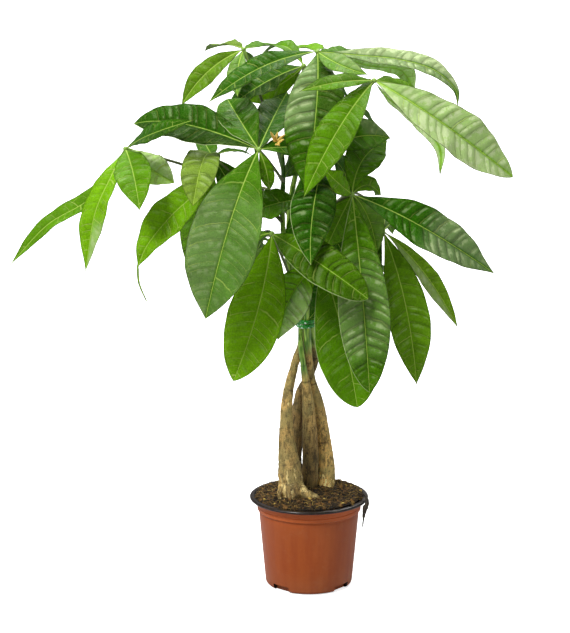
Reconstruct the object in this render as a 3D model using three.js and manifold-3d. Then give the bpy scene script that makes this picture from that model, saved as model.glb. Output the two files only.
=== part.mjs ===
// A potted money tree: four braided stems with palmate leaves, in a thin nursery pot.
// Millimetres, +Z up. The origin is the middle of the pot's flat underside, and the
// plant's front faces -Y.
import * as THREE from "three";
import { mergeVertices } from "three/addons/utils/BufferGeometryUtils.js";
import Module from "manifold-3d";

const wasm = await Module();
wasm.setup();

const GAP = 0.3; // left between pieces that touch

// The pot, a thin shell with a stepped collar and a rolled lip
const POT_HEIGHT = 92;
const RIM_RADIUS = 60;
const FOOT_RADIUS = 44.2;
const NECK_RADIUS = 50.2;
const COLLAR_RADIUS = 52.4;
const COLLAR_BOTTOM = 77.6;
const LIP_BOTTOM = 88.8;
const WALL = 1.2;
const LIP_WIDTH = 4.4;
const POT_SEGMENTS = 32;

// The raised drain recesses in the foot of the pot
const RECESS_TURNS = [-131, -41, 49, 139]; // degrees round the axis
const RECESS_WIDTH = 20;
const RECESS_HEIGHT = 6.5;
const RECESS_INNER_RADIUS = 38;
const SLOT_LENGTH = 10;
const SLOT_WIDTH = 3;

// The soil, a mound that lies a little lower on the left
const SOIL_EDGE = 92.3;
const SOIL_RISE = 3;
const SOIL_SLOPE = 0.02;
const SOIL_REACH = 54; // from the pot's axis to the soil's edge on the ledge inside the lip
const SOIL_CRUMBS = 12;
const CRUMB_REACH = 47; // from the pot's axis

// The tie round the top of the braid
const TIE_CENTRE = [-3.2, 0];
const TIE_BOTTOM = 267.3;
const TIE_HEIGHT = 7;
const TIE_INNER_RADIUS = 9.1;
const TIE_THICKNESS = 1;

// The leaves
const BLADE_THICKNESS = 0.8;
const ROW_SPACING = 24; // between the rows of points along a leaflet
const BLADE_START = 2; // from the middle of the knob to where a leaflet starts inside it
const FOLD = 0.2; // how far the margins rise above the midrib, for each mm of width
const WAVE = 0.05; // height of the waved margin, for each mm of width
const WAVES = 2.3; // waves from the base of a leaflet to its tip
const TAIL_HALF_WIDTH = 0.6;
const PETIOLE_RADIUS = 1.4;
const PETIOLE_FLARE = 0.7; // how much thicker it starts on its stem
const KNOB_RADIUS = 3; // where the leaflets meet
const STEM_SIDES = 7;

const vector = (place) => new THREE.Vector3(...place);

// A seeded draw, so that every build gives the same plant
function drawer(seed) {
  let state = seed;
  return (low, high) => {
    state = (state * 1664525 + 1013904223) % 4294967296;
    return low + (high - low) * (state / 4294967296);
  };
}

// Turns a closed geometry into a solid that can be joined and cut
function solid(geometry) {
  const bare = geometry.clone();
  bare.deleteAttribute("normal");
  bare.deleteAttribute("uv");
  const merged = mergeVertices(bare, 1e-4);
  return new wasm.Manifold(
    new wasm.Mesh({
      numProp: 3,
      vertProperties: new Float32Array(merged.attributes.position.array),
      triVerts: new Uint32Array(merged.index.array),
    }),
  );
}

// Turns a solid back into a geometry
function geometryOf(body) {
  const mesh = body.getMesh();
  const geometry = new THREE.BufferGeometry();
  geometry.setAttribute("position", new THREE.BufferAttribute(mesh.vertProperties, 3));
  geometry.setIndex(new THREE.BufferAttribute(mesh.triVerts, 1));
  geometry.computeVertexNormals();
  return geometry;
}

// Keeps the largest body of a cut solid and drops the loose scraps
function largest(body) {
  const pieces = body.decompose();
  return pieces.reduce((best, piece) => (piece.volume() > best.volume() ? piece : best));
}

function join(bodies) {
  return bodies.reduce((whole, body) => whole.add(body));
}

function geometryFrom(points, faces) {
  const geometry = new THREE.BufferGeometry();
  geometry.setAttribute("position", new THREE.Float32BufferAttribute(points.flat(), 3));
  geometry.setIndex(faces.flat());
  return geometry;
}

// A body of revolution from [radius, height] pairs
function lathe(profile, segments) {
  const outline = profile.map(([radius, height]) => new THREE.Vector2(radius, height));
  return new THREE.LatheGeometry(outline, segments).rotateX(Math.PI / 2);
}

// A round tapering body along a curve. thickness gives its radius from 0 to 1 along it.
function taperedTube(curve, thickness, steps, sides) {
  const points = [];
  const faces = [];
  const forward = curve.getTangent(0);
  const side = new THREE.Vector3(0, 1, 0).cross(forward).normalize();
  for (let step = 0; step <= steps; step += 1) {
    const along = step / steps;
    const centre = curve.getPoint(along);
    forward.copy(curve.getTangent(along));
    side.addScaledVector(forward, -side.dot(forward)).normalize();
    const up = forward.clone().cross(side);
    for (let corner = 0; corner < sides; corner += 1) {
      const turn = (2 * Math.PI * corner) / sides;
      const radius = thickness(along, turn);
      const point = centre.clone();
      point.addScaledVector(side, radius * Math.cos(turn));
      point.addScaledVector(up, radius * Math.sin(turn));
      points.push(point.toArray());
    }
  }
  for (let step = 0; step < steps; step += 1) {
    for (let corner = 0; corner < sides; corner += 1) {
      const next = (corner + 1) % sides;
      const near = step * sides;
      const far = near + sides;
      faces.push([near + corner, near + next, far + next]);
      faces.push([near + corner, far + next, far + corner]);
    }
  }
  const last = steps * sides;
  for (let corner = 1; corner < sides - 1; corner += 1) {
    faces.push([0, corner + 1, corner]);
    faces.push([last, last + corner, last + corner + 1]);
  }
  return geometryFrom(points, faces);
}

// Interpolates evenly spaced values
function between(values, along) {
  const place = along * (values.length - 1);
  const index = Math.min(Math.floor(place), values.length - 2);
  return THREE.MathUtils.lerp(values[index], values[index + 1], place - index);
}

// Pot
const potOutside = [
  [0, 0],
  [FOOT_RADIUS - 3.4, 0],
  [FOOT_RADIUS - 1, 1.2],
  [FOOT_RADIUS, 4],
  [NECK_RADIUS, 72],
  [NECK_RADIUS + 0.2, COLLAR_BOTTOM - 0.8],
  [COLLAR_RADIUS, COLLAR_BOTTOM + 0.6],
  [COLLAR_RADIUS + 0.4, LIP_BOTTOM],
  [RIM_RADIUS - 0.7, LIP_BOTTOM],
  [RIM_RADIUS, LIP_BOTTOM + 0.9],
  [RIM_RADIUS, POT_HEIGHT - 0.9],
  [RIM_RADIUS - 0.8, POT_HEIGHT],
  [RIM_RADIUS - LIP_WIDTH, POT_HEIGHT],
  [0, POT_HEIGHT],
];
const potInside = [
  [0, WALL],
  [FOOT_RADIUS - 3.6, WALL],
  [FOOT_RADIUS - WALL, 4.2],
  [NECK_RADIUS - WALL, 72],
  [NECK_RADIUS + 0.2 - WALL, COLLAR_BOTTOM - 0.2],
  [COLLAR_RADIUS - WALL, COLLAR_BOTTOM + 1.2],
  [COLLAR_RADIUS + 0.4 - WALL, LIP_BOTTOM],
];
const potMouth = [
  [RIM_RADIUS - LIP_WIDTH, POT_HEIGHT],
  [RIM_RADIUS - LIP_WIDTH, POT_HEIGHT + 4],
  [0, POT_HEIGHT + 4],
];

function recess(margin) {
  const length = RIM_RADIUS - RECESS_INNER_RADIUS + margin;
  const block = new THREE.BoxGeometry(length, RECESS_WIDTH + 2 * margin, 2 * (RECESS_HEIGHT + margin));
  return block.translate(RECESS_INNER_RADIUS - margin + length / 2, 0, 0);
}

function drainSlot() {
  const slot = new THREE.BoxGeometry(SLOT_WIDTH, SLOT_LENGTH, 3 * WALL);
  return slot.translate(RECESS_INNER_RADIUS + 2.6, 0, RECESS_HEIGHT);
}

function roundTheFoot(makeBlock) {
  return join(RECESS_TURNS.map((turn) => solid(makeBlock().rotateZ(THREE.MathUtils.degToRad(turn)))));
}

function buildPot() {
  const outside = solid(lathe(potOutside, POT_SEGMENTS));
  const inside = solid(lathe([...potInside, ...potMouth], POT_SEGMENTS));
  const hollow = inside.subtract(roundTheFoot(() => recess(WALL)));
  const shell = outside.subtract(roundTheFoot(() => recess(0))).subtract(hollow);
  return shell.subtract(roundTheFoot(drainSlot));
}

// The height of the soil's rough surface
function soilHeight(x, y) {
  const out = Math.hypot(x, y) / SOIL_REACH;
  const mound = SOIL_RISE * (1 - out * out) + SOIL_SLOPE * x;
  const rough = Math.sin(0.31 * x + 1.3) * Math.cos(0.27 * y) + 0.7 * Math.sin(0.55 * y + 0.41 * x);
  return SOIL_EDGE + mound + rough * Math.min(1, 2.5 * (1.05 - out));
}

function soilCrumbs() {
  const draw = drawer(11);
  return Array.from({ length: SOIL_CRUMBS }, () => {
    const out = CRUMB_REACH * Math.sqrt(draw(0, 1));
    const turn = draw(0, 2 * Math.PI);
    const x = out * Math.cos(turn);
    const y = out * Math.sin(turn);
    const crumb = new THREE.IcosahedronGeometry(draw(1.4, 3), 0);
    crumb.scale(1, draw(0.6, 1), draw(0.5, 0.9)).rotateZ(draw(0, 3)).translate(x, y, soilHeight(x, y));
    return solid(crumb);
  });
}

// The dead root that lies over the lip on the right
const ROOT_PATH = [
  [40, -4, 82],
  [47, -8, 92],
  [53, -14, 97],
  [57, -20, 96],
  [58, -25, 91],
  [55.5, -29, 85.5],
  [54.5, -29, 78],
  [54, -28.5, 72],
  [53.5, -28, 67],
];
const ROOT_RADII = [1, 1, 0.9, 1.2, 2, 2.4, 1.2, 0.7, 0.5];

function buildSoil(stemHoles) {
  const edge = potInside.map(([radius, height]) => [Math.max(0, radius - GAP), height]);
  edge[0][1] += GAP;
  edge[1][1] += GAP;
  edge.push([SOIL_REACH, SOIL_EDGE]);
  const rings = [0.9, 0.7, 0.48, 0.24].map((share) => [share * SOIL_REACH, SOIL_EDGE]);
  const body = lathe([...edge, ...rings, [0, SOIL_EDGE]], POT_SEGMENTS);
  const places = body.attributes.position;
  for (let index = 0; index < places.count; index += 1) {
    if (places.getZ(index) > SOIL_EDGE - 0.01) {
      places.setZ(index, soilHeight(places.getX(index), places.getY(index)));
    }
  }
  const ground = solid(body).subtract(roundTheFoot(() => recess(WALL + GAP)));
  const root = solid(taperedTube(curveThrough(ROOT_PATH), (along) => between(ROOT_RADII, along), 16, 5));
  return largest(join([ground, root, ...soilCrumbs()]).subtract(stemHoles));
}

// Stems: [x, y, z, radius] from the root end in the soil, through the braid and the tie,
// to the tip of the green shoot
const stems = {
  stem_1: [
    [-18, -9, 48, 8],
    [-18, -10, 76, 12.5],
    [-18.3, -11, 98, 12.6],
    [-19.6, -11, 121, 10.8],
    [-22.6, -9, 152, 7.8],
    [-23, -7, 172, 6.4],
    [-22, -4, 192, 5.4],
    [-18.5, 0, 212, 4.8],
    [-13.5, 4.5, 230, 4.2],
    [-8, 7.5, 248, 3.4],
    [-4.7, 4.8, 262, 3],
    [-4.7, 4.8, 276, 2.9],
    [-12, 15, 305, 3],
    [-20, 30, 345, 2.8],
    [-18, 42, 390, 2.6],
    [-10, 48, 430, 2.3],
    [-6, 46, 465, 1.8],
    [-6, 43, 484, 0.8],
  ],
  stem_2: [
    [-13, 29, 52, 5],
    [-12.5, 29, 78, 6.5],
    [-13.5, 28, 102, 6.6],
    [-13.9, 27, 132, 6.6],
    [-12.4, 25, 153, 6.6],
    [-11.4, 23, 175, 5.9],
    [-7.8, 22, 194, 4.9],
    [-1, 19, 209, 4.5],
    [5.5, 13, 228, 4],
    [4.5, 6, 246, 3.2],
    [3.2, 1, 262, 2.4],
    [3.2, 1, 276, 2.4],
    [8, 8, 305, 2.7],
    [14, 17, 345, 2.7],
    [18, 22, 395, 2.5],
    [16, 20, 430, 2.2],
    [13, 17, 452, 1.7],
    [12, 15, 466, 0.7],
  ],
  stem_3: [
    [1, 12, 50, 6],
    [0.5, 13, 74, 7.6],
    [-0.5, 13.5, 97, 8.7],
    [1.5, 11.5, 125, 7.6],
    [1, 8, 146, 7.5],
    [-0.5, 2, 179, 6.2],
    [-2.6, -3, 203, 4.8],
    [-6, -6.5, 228, 3.2],
    [-8.6, -5.5, 248, 2.7],
    [-9, -2.2, 262, 2.5],
    [-9, -2.2, 276, 2.5],
    [-14, -3, 305, 2.6],
    [-24, -1, 345, 2.5],
    [-27, 2, 385, 2.4],
    [-26, 5, 423, 2.2],
    [-29, 0, 446, 2.6],
    [-33, -8, 464, 0.7],
  ],
  stem_4: [
    [20, 17, 50, 5.5],
    [19.5, 18, 74, 7.6],
    [17.8, 20, 96, 8.6],
    [17.3, 21, 118, 8.2],
    [15.3, 19, 144, 6.9],
    [11.6, 15, 172, 6],
    [6.4, 10, 194, 5.4],
    [1.6, 5.5, 213, 4.6],
    [-0.8, 1.5, 232, 4.4],
    [-1.8, -2, 249, 4.3],
    [-2, -4.4, 262, 3.9],
    [-2, -4.4, 276, 3.6],
    [1, -10, 303, 3],
    [8, -19, 335, 2.8],
    [15, -25, 370, 2.5],
    [18, -26, 400, 2.1],
    [17, -22, 424, 0.8],
  ],
};

// The foot that the left trunk sends out over the soil
const ROOT_FOOT = [
  [-14, -13, 106],
  [-6, -18.5, 99.5],
  [1, -21.5, 97],
  [8, -23, 94.5],
  [10, -23, 87],
];
const FOOT_RADII = [7.5, 6.2, 4.8, 3.2, 1.6];

function curveThrough(places) {
  const points = places.map((place) => vector(place.slice(0, 3)));
  return new THREE.CatmullRomCurve3(points, false, "centripetal");
}

function stemSolid(path, extra) {
  const radii = path.map((place) => place[3]);
  const lumpy = (along, turn) => 1 + 0.05 * Math.sin(2 * turn + 9 * along) + 0.03 * Math.sin(40 * along);
  const radius = (along, turn) => between(radii, along) * lumpy(along, turn) + extra;
  return solid(taperedTube(curveThrough(path), radius, Math.round(1.7 * path.length), STEM_SIDES));
}

function footSolid(extra) {
  const radius = (along) => between(FOOT_RADII, along) + extra;
  return solid(taperedTube(curveThrough(ROOT_FOOT), radius, 6, 6));
}

function buildStem(name, extra) {
  const body = stemSolid(stems[name], extra);
  return name === "stem_1" ? body.add(footSolid(extra)) : body;
}

// The point of a stem's axis at a height
function stemAt(name, height) {
  const curve = curveThrough(stems[name]);
  let low = 0;
  let high = 1;
  for (let halving = 0; halving < 30; halving += 1) {
    const middle = (low + high) / 2;
    if (curve.getPoint(middle).z < height) low = middle;
    else high = middle;
  }
  return curve.getPoint(low);
}

// Tie
function buildTie() {
  const ring = new THREE.Shape();
  ring.absarc(...TIE_CENTRE, TIE_INNER_RADIUS + TIE_THICKNESS, 0, 2 * Math.PI);
  const hole = new THREE.Path();
  hole.absarc(...TIE_CENTRE, TIE_INNER_RADIUS, 0, 2 * Math.PI, true);
  ring.holes.push(hole);
  const shape = { depth: TIE_HEIGHT, curveSegments: 14, bevelEnabled: false };
  const band = new THREE.ExtrudeGeometry(ring, shape);
  return solid(band.translate(0, 0, TIE_BOTTOM));
}

// Leaves. Each has a hub where its leaflets meet, the stem and the height that its
// petiole grows from, a point that the petiole bends through, and the way that its
// upper side faces. A leaflet has the points that its midrib runs through, its tip and
// its width. blunt shapes its end, and a tail is a thin drip tip that hangs from it.
const UPWARD = [0, -0.3, 0.95];
const SLANTED = [0, -0.55, 0.83];
const FORWARD = [0, -0.8, 0.6];
const BACKWARD = [0, 0.5, 0.86];
const leaves = {
  leaf_01: {
    hub: [-49, -85, 457],
    root: ["stem_3", 412],
    bend: [-40, -45, 440],
    face: FORWARD,
    leaflets: [
      { via: [[-119, -50, 476]], tip: [-171, -18, 472], wide: 43, blunt: 0.3 },
      { via: [[-75, -118, 395]], tip: [-99, -122, 302], wide: 68, blunt: 0.3 },
      { via: [[-20, -62, 456]], tip: [9, -42, 450], wide: 24 },
      { via: [[-37, -50, 479]], tip: [-22, 0, 501], wide: 34 },
      { via: [[-65, -60, 478]], tip: [-80, -15, 496], wide: 40, blunt: 0.4 },
      { via: [[-42, -88, 438]], tip: [-39, -80, 417], wide: 14 },
    ],
  },
  leaf_02: {
    hub: [7, -10, 541],
    root: ["stem_2", 445],
    bend: [12, 5, 500],
    face: UPWARD,
    leaflets: [
      { via: [[-46, -42, 530]], tip: [-97, -60, 498], wide: 28, face: SLANTED },
      { via: [[5, -62, 489]], tip: [-5, -78, 419], wide: 58, blunt: 0.3, face: FORWARD },
      {
        via: [[45, -14, 538], [86, -26, 535], [120, -34, 525], [139, -38, 507]],
        tip: [141, -40, 489],
        wide: 26,
        blunt: -0.6,
        face: SLANTED,
      },
      { via: [[60, 38, 522], [92, 52, 515]], tip: [105, 58, 493], wide: 36, blunt: 0.3, face: BACKWARD },
      { via: [[29, -47, 532]], tip: [54, -62, 525], wide: 22, face: FORWARD },
      { via: [[2, 45, 538], [-10, 75, 537]], tip: [-25, 98, 533], wide: 24 },
      { via: [[36, 45, 534]], tip: [63, 90, 528], wide: 26 },
    ],
  },
  leaf_03: {
    hub: [60, -60, 519],
    root: ["stem_2", 425],
    bend: [33, -28, 478],
    face: FORWARD,
    leaflets: [
      { via: [[25, -90, 521]], tip: [-11, -103, 514], wide: 17 },
      { via: [[25, -108, 479]], tip: [-7, -124, 418], wide: 36, blunt: 0.1 },
      { via: [[118, -78, 485]], tip: [193, -62, 427], wide: 48, blunt: 0.6 },
      { via: [[73, -25, 499], [106, 5, 472], [128, 14, 443]], tip: [129, 18, 414], wide: 18 },
      { via: [[87, 0, 508]], tip: [113, 40, 494], wide: 18 },
      { via: [[49, -15, 507]], tip: [39, 25, 492], wide: 20 },
    ],
  },
  leaf_04: {
    hub: [-65, 30, 539],
    root: ["stem_3", 425],
    bend: [-46, 20, 487],
    face: UPWARD,
    leaflets: [
      { via: [[-99, 10, 520]], tip: [-125, -5, 488], wide: 23, face: FORWARD },
      { via: [[-84, 75, 539]], tip: [-107, 115, 528], wide: 24 },
      { via: [[-49, 74, 538]], tip: [-26, 120, 534], wide: 20 },
      { via: [[-71, 5, 518]], tip: [-70, -15, 498], wide: 20 },
      { via: [[-56, 45, 525]], tip: [-44, 60, 503], wide: 20 },
    ],
  },
  leaf_05: {
    hub: [40, -60, 410],
    root: ["stem_4", 385],
    bend: [27, -45, 400],
    face: FORWARD,
    leaflets: [
      { via: [[104, -78, 383]], tip: [179, -55, 331], wide: 44, blunt: -0.3 },
      { via: [[49, -96, 322]], tip: [57, -92, 223], wide: 49, blunt: 0.7 },
      { via: [[30, -52, 388]], tip: [16, -36, 354], wide: 32 },
      { via: [[51, -30, 439]], tip: [76, 5, 452], wide: 36 },
      { via: [[55, -42, 416]], tip: [69, -25, 403], wide: 20 },
      { via: [[56, -48, 385]], tip: [65, -44, 349], wide: 26 },
      { via: [[25, -78, 425]], tip: [13, -82, 438], wide: 24 },
    ],
  },
  leaf_06: {
    hub: [72, -10, 365],
    root: ["stem_2", 340],
    bend: [42, 4, 352],
    face: FORWARD,
    leaflets: [
      { via: [[93, -36, 299]], tip: [105, -42, 218], wide: 42, blunt: 0.2 },
      { via: [[114, 5, 320]], tip: [149, 12, 262], wide: 20 },
      { via: [[56, -30, 314]], tip: [49, -36, 261], wide: 26 },
      { via: [[99, 40, 371]], tip: [128, 80, 349], wide: 28 },
      { via: [[74, 40, 369]], tip: [65, 95, 340], wide: 26 },
    ],
  },
  leaf_07: {
    hub: [-37, -50, 370],
    root: ["stem_3", 302],
    bend: [-27, -25, 342],
    face: [0, -0.9, 0.45],
    leaflets: [
      { via: [[-49, -78, 306]], tip: [-74, -84, 232], wide: 54, blunt: 0.6 },
      { via: [[9, -104, 351]], tip: [54, -112, 319], wide: 40, blunt: 0.8 },
      { via: [[-57, -25, 357]], tip: [-72, 5, 323], wide: 20 },
      { via: [[-44, -15, 360]], tip: [-52, 10, 342], wide: 12 },
    ],
  },
  leaf_08: {
    hub: [-179, -20, 448],
    root: ["stem_3", 392],
    bend: [-122, -8, 430],
    face: [-0.2, -0.6, 0.75],
    leaflets: [
      { via: [[-203, -24, 412], [-218, -26, 397], [-255, -28, 375]], tip: [-293, -30, 335], wide: 22 },
      { via: [[-193, -46, 422], [-206, -58, 393]], tip: [-216, -66, 336], wide: 28 },
      { via: [[-168, -70, 430]], tip: [-161, -100, 402], wide: 36, blunt: 0.2 },
      { via: [[-154, -28, 429]], tip: [-131, -40, 418], wide: 32, blunt: 0.3 },
      { via: [[-162, -50, 462], [-139, -78, 475]], tip: [-110, -92, 486], wide: 22, face: FORWARD },
    ],
  },
  leaf_09: {
    hub: [-94, -30, 442],
    root: ["stem_3", 372],
    bend: [-68, -15, 416],
    face: [-0.1, -0.7, 0.7],
    leaflets: [
      { via: [[-102, -68, 444]], tip: [-111, -95, 405], wide: 36, blunt: 0.4 },
      {
        via: [[-108, -48, 413], [-135, -56, 387], [-157, -60, 360]],
        tip: [-166, -62, 340],
        wide: 40,
        blunt: 0.2,
        tail: [[-165, -62, 324], [-158, -62, 306]],
      },
      { via: [[-102, -35, 373]], tip: [-86, -45, 300], wide: 48, blunt: 0.2 },
      { via: [[-80, -22, 418]], tip: [-62, -18, 391], wide: 28 },
      { via: [[-74, 15, 441]], tip: [-54, 55, 428], wide: 10 },
      { via: [[-102, 25, 444]], tip: [-113, 60, 457], wide: 20 },
    ],
  },
  leaf_10: {
    hub: [-10, -14, 397],
    root: ["stem_1", 358],
    bend: [-12, 20, 382],
    face: [0, -0.7, 0.7],
    leaflets: [
      { via: [[-34, -20, 394]], tip: [-62, -28, 385], wide: 36, blunt: 0.3 },
      { via: [[15, -6, 370]], tip: [38, -8, 334], wide: 34 },
      { via: [[2, 30, 402]], tip: [6, 75, 388], wide: 28 },
      { via: [[-10, -24, 362]], tip: [-12, -22, 337], wide: 28 },
    ],
  },
  leaf_11: {
    hub: [15, -32, 447],
    root: ["stem_2", 405],
    bend: [18, -6, 430],
    face: FORWARD,
    leaflets: [
      { via: [[2, -86, 397]], tip: [0, -113, 352], wide: 43, blunt: 0.2 },
      { via: [[46, -28, 461]], tip: [78, -18, 458], wide: 34 },
      { via: [[4, -16, 473]], tip: [2, -2, 496], wide: 28 },
      { via: [[-10, -8, 434]], tip: [-26, 16, 414], wide: 26 },
      { via: [[33, -6, 424]], tip: [40, 14, 398], wide: 26 },
    ],
  },
  leaf_12: {
    hub: [-6, 20, 524],
    root: ["stem_1", 468],
    bend: [-8, 36, 502],
    face: UPWARD,
    leaflets: [
      { via: [[-42, 8, 510]], tip: [-79, -2, 486], wide: 44 },
      { via: [[-28, 38, 542]], tip: [-51, 52, 525], wide: 22 },
      { via: [[-34, 37, 501]], tip: [-71, 45, 489], wide: 30, face: FORWARD },
      { via: [[19, 30, 509]], tip: [42, 42, 484], wide: 30 },
    ],
  },
  leaf_13: {
    hub: [11, -48, 342],
    root: ["stem_4", 308],
    bend: [7, -30, 330],
    face: [0, -0.8, 0.55],
    leaflets: [
      { via: [[-18, -58, 311]], tip: [-31, -62, 268], wide: 42, blunt: 0.2 },
      { via: [[31, -68, 277]], tip: [46, -74, 203], wide: 60, blunt: 0.8 },
      { via: [[16, -38, 312]], tip: [-1, -30, 281], wide: 30 },
      { via: [[40, -16, 318]], tip: [58, 12, 284], wide: 28 },
      { via: [[38, -54, 322]], tip: [64, -60, 292], wide: 26 },
    ],
  },
};

// The leaves at the back, which spread their leaflets round the hub by a rule
const backLeaves = {
  leaf_14: { hub: [-62, 118, 385], root: ["stem_1", 372], count: 5, long: 92, first: 50, last: 165 },
  leaf_15: { hub: [62, 110, 376], root: ["stem_2", 380], count: 5, long: 90, first: 70, last: 155 },
  leaf_16: { hub: [0, 115, 490], root: ["stem_1", 445], count: 6, long: 100, first: 10, last: 170 },
  leaf_17: { hub: [50, 80, 315], root: ["stem_2", 325], count: 5, long: 88, first: 10, last: 140 },
  leaf_18: { hub: [-55, 80, 340], root: ["stem_1", 330], count: 5, long: 85, first: 40, last: 165 },
};

const DROOP = [25, 50]; // degrees below level
const LENGTHS = [0.85, 1.1]; // of a leaflet, as a share of its leaf's length
const ARCH_PLACE = 0.52;
const ARCH_RISE = 0.12;
const WIDTH_SHARE = 0.31;
const BEND_PLACE = 0.55; // of a petiole, between the stem and the hub
const BEND_RISE = 12;

function spreadLeaflets({ hub, count, long, first, last }, seed) {
  const draw = drawer(seed);
  return Array.from({ length: count }, (_, index) => {
    const turn = THREE.MathUtils.degToRad(THREE.MathUtils.lerp(first, last, index / (count - 1)));
    const droop = THREE.MathUtils.degToRad(draw(...DROOP));
    const length = long * draw(...LENGTHS);
    const level = Math.cos(droop);
    const reach = vector([Math.cos(turn) * level, Math.sin(turn) * level, -Math.sin(droop)]);
    const tip = vector(hub).addScaledVector(reach, length);
    const mid = vector(hub).addScaledVector(reach, ARCH_PLACE * length);
    mid.z += ARCH_RISE * length;
    return { via: [mid.toArray()], tip: tip.toArray(), wide: WIDTH_SHARE * length, blunt: 0.2 };
  });
}

// Half of a leaflet's width at a place from its base, 0, to its tip, 1
function halfWidth(along, wide, blunt) {
  const base = 1.4 - 0.4 * blunt;
  const end = 1.2 - 0.6 * blunt;
  const widest = base / (base + end);
  const shape = (place) => place ** base * (1 - place) ** end;
  return Math.max(0.9 * (1 - 0.6 * along), (wide / 2) * (shape(along) / shape(widest)));
}

// The curve of a midrib: an arch through one point, or a smooth curve through several
function midribOf(hub, via, tip) {
  if (via.length > 1) return curveThrough([hub, ...via, tip]);
  const start = vector(hub);
  const end = vector(tip);
  const pull = vector(via[0]).multiplyScalar(2).addScaledVector(start, -0.5).addScaledVector(end, -0.5);
  return new THREE.QuadraticBezierCurve3(start, pull, end);
}

// A thin arched blade, folded along its midrib and waved along its margins
function blade(hub, leaflet, face, phase) {
  const { via, tip, wide, blunt = 0, tail } = leaflet;
  const midrib = midribOf(hub, via, tip);
  const points = [];
  const faces = [];
  const addRow = (centre, forward, half, along) => {
    const normal = vector(face);
    normal.addScaledVector(forward, -normal.dot(forward)).normalize();
    const across = forward.clone().cross(normal);
    const row = [-1, 0, 1].map((side) => {
      const ripple = WAVE * wide * Math.sin(2 * Math.PI * WAVES * along + phase + side);
      const lift = Math.abs(side) * (FOLD * half + ripple * Math.min(1, (2 * half) / wide));
      return centre.clone().addScaledVector(across, side * half).addScaledVector(normal, lift);
    });
    const above = row.map((point) => point.clone().addScaledVector(normal, BLADE_THICKNESS / 2));
    const below = row.map((point) => point.clone().addScaledVector(normal, -BLADE_THICKNESS / 2));
    points.push(...above.map((point) => point.toArray()), ...below.map((point) => point.toArray()));
  };
  const length = midrib.getLength();
  const steps = Math.max(4, Math.round(length / ROW_SPACING));
  for (let step = 0; step <= steps; step += 1) {
    const along = THREE.MathUtils.lerp(BLADE_START / length, 1, (step / steps) ** 0.9);
    addRow(midrib.getPointAt(along), midrib.getTangentAt(along), halfWidth(along, wide, blunt), along);
  }
  if (tail) {
    const hang = curveThrough([tip, ...tail]);
    [0.25, 0.5, 0.75, 1].forEach((along) => {
      addRow(hang.getPointAt(along), hang.getTangentAt(along), TAIL_HALF_WIDTH, 1);
    });
  }
  const rows = points.length / 6;
  const quad = (a, b, c, d) => faces.push([a, b, c], [a, c, d]);
  for (let row = 0; row < rows - 1; row += 1) {
    const corners = [0, 1, 2, 3, 4, 5].map((column) => 6 * row + column);
    const [left, rib, right, lowLeft, lowRib, lowRight] = corners;
    quad(left, rib, rib + 6, left + 6);
    quad(right, right + 6, rib + 6, rib);
    quad(lowLeft, lowLeft + 6, lowRib + 6, lowRib);
    quad(lowRight, lowRib, lowRib + 6, lowRight + 6);
    quad(right, lowRight, lowRight + 6, right + 6);
    quad(lowLeft, left, left + 6, lowLeft + 6);
  }
  const last = 6 * (rows - 1);
  quad(0, 3, 4, 1);
  quad(1, 4, 5, 2);
  quad(last, last + 1, last + 4, last + 3);
  quad(last + 1, last + 2, last + 5, last + 4);
  return solid(geometryFrom(points, faces));
}

function petiole(hub, root, bend) {
  const curve = curveThrough([root.toArray(), bend, hub]);
  const radius = (along) => PETIOLE_RADIUS * (1 + PETIOLE_FLARE * Math.max(0, 1 - 6 * along));
  return solid(taperedTube(curve, radius, 7, 5));
}

function buildLeaf({ hub, root, bend, face, leaflets }, seed, stemCuts) {
  const [stem, height] = root;
  const knob = new THREE.IcosahedronGeometry(KNOB_RADIUS, 0).translate(...hub);
  const blades = leaflets.map((leaflet, index) => {
    return blade(hub, leaflet, leaflet.face ?? face, seed + 2 * index);
  });
  const frond = join([petiole(hub, stemAt(stem, height), bend), solid(knob), ...blades]);
  return largest(frond.subtract(stemCuts[stem]));
}

// The whole plant
const plant = new THREE.Group();
const CLAY = 0x9a4a2a;
const PEAT = 0x2e2119;
const SHINY_GREEN = 0x14592f;
const BARK = 0x8a7350;
const LEAF_GREEN = 0x3f7a22;

function add(name, body, color, roughness) {
  const material = new THREE.MeshStandardMaterial({ color, roughness, metalness: 0 });
  const mesh = new THREE.Mesh(geometryOf(body), material);
  mesh.name = name;
  plant.add(mesh);
}

const stemNames = Object.keys(stems);
const stemCuts = Object.fromEntries(stemNames.map((name) => [name, buildStem(name, GAP)]));

add("pot", buildPot(), CLAY, 0.45);
add("soil", buildSoil(join(Object.values(stemCuts))), PEAT, 0.95);
add("tie", buildTie(), SHINY_GREEN, 0.25);
stemNames.forEach((name) => add(name, buildStem(name, 0), BARK, 0.75));
Object.entries(leaves).forEach(([name, leaf], index) => {
  add(name, buildLeaf(leaf, index, stemCuts), LEAF_GREEN, 0.35);
});
Object.entries(backLeaves).forEach(([name, leaf], index) => {
  const [stem, height] = leaf.root;
  const bend = stemAt(stem, height).lerp(vector(leaf.hub), BEND_PLACE);
  bend.z += BEND_RISE;
  const leaflets = spreadLeaflets(leaf, 40 + index);
  const grown = { hub: leaf.hub, root: leaf.root, bend: bend.toArray(), face: [0, 0, 1], leaflets };
  add(name, buildLeaf(grown, 20 + index, stemCuts), LEAF_GREEN, 0.35);
});

export default plant;
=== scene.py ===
import math
import random

import bmesh
import bpy
import numpy as np
from mathutils import Matrix, Vector, noise


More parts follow.
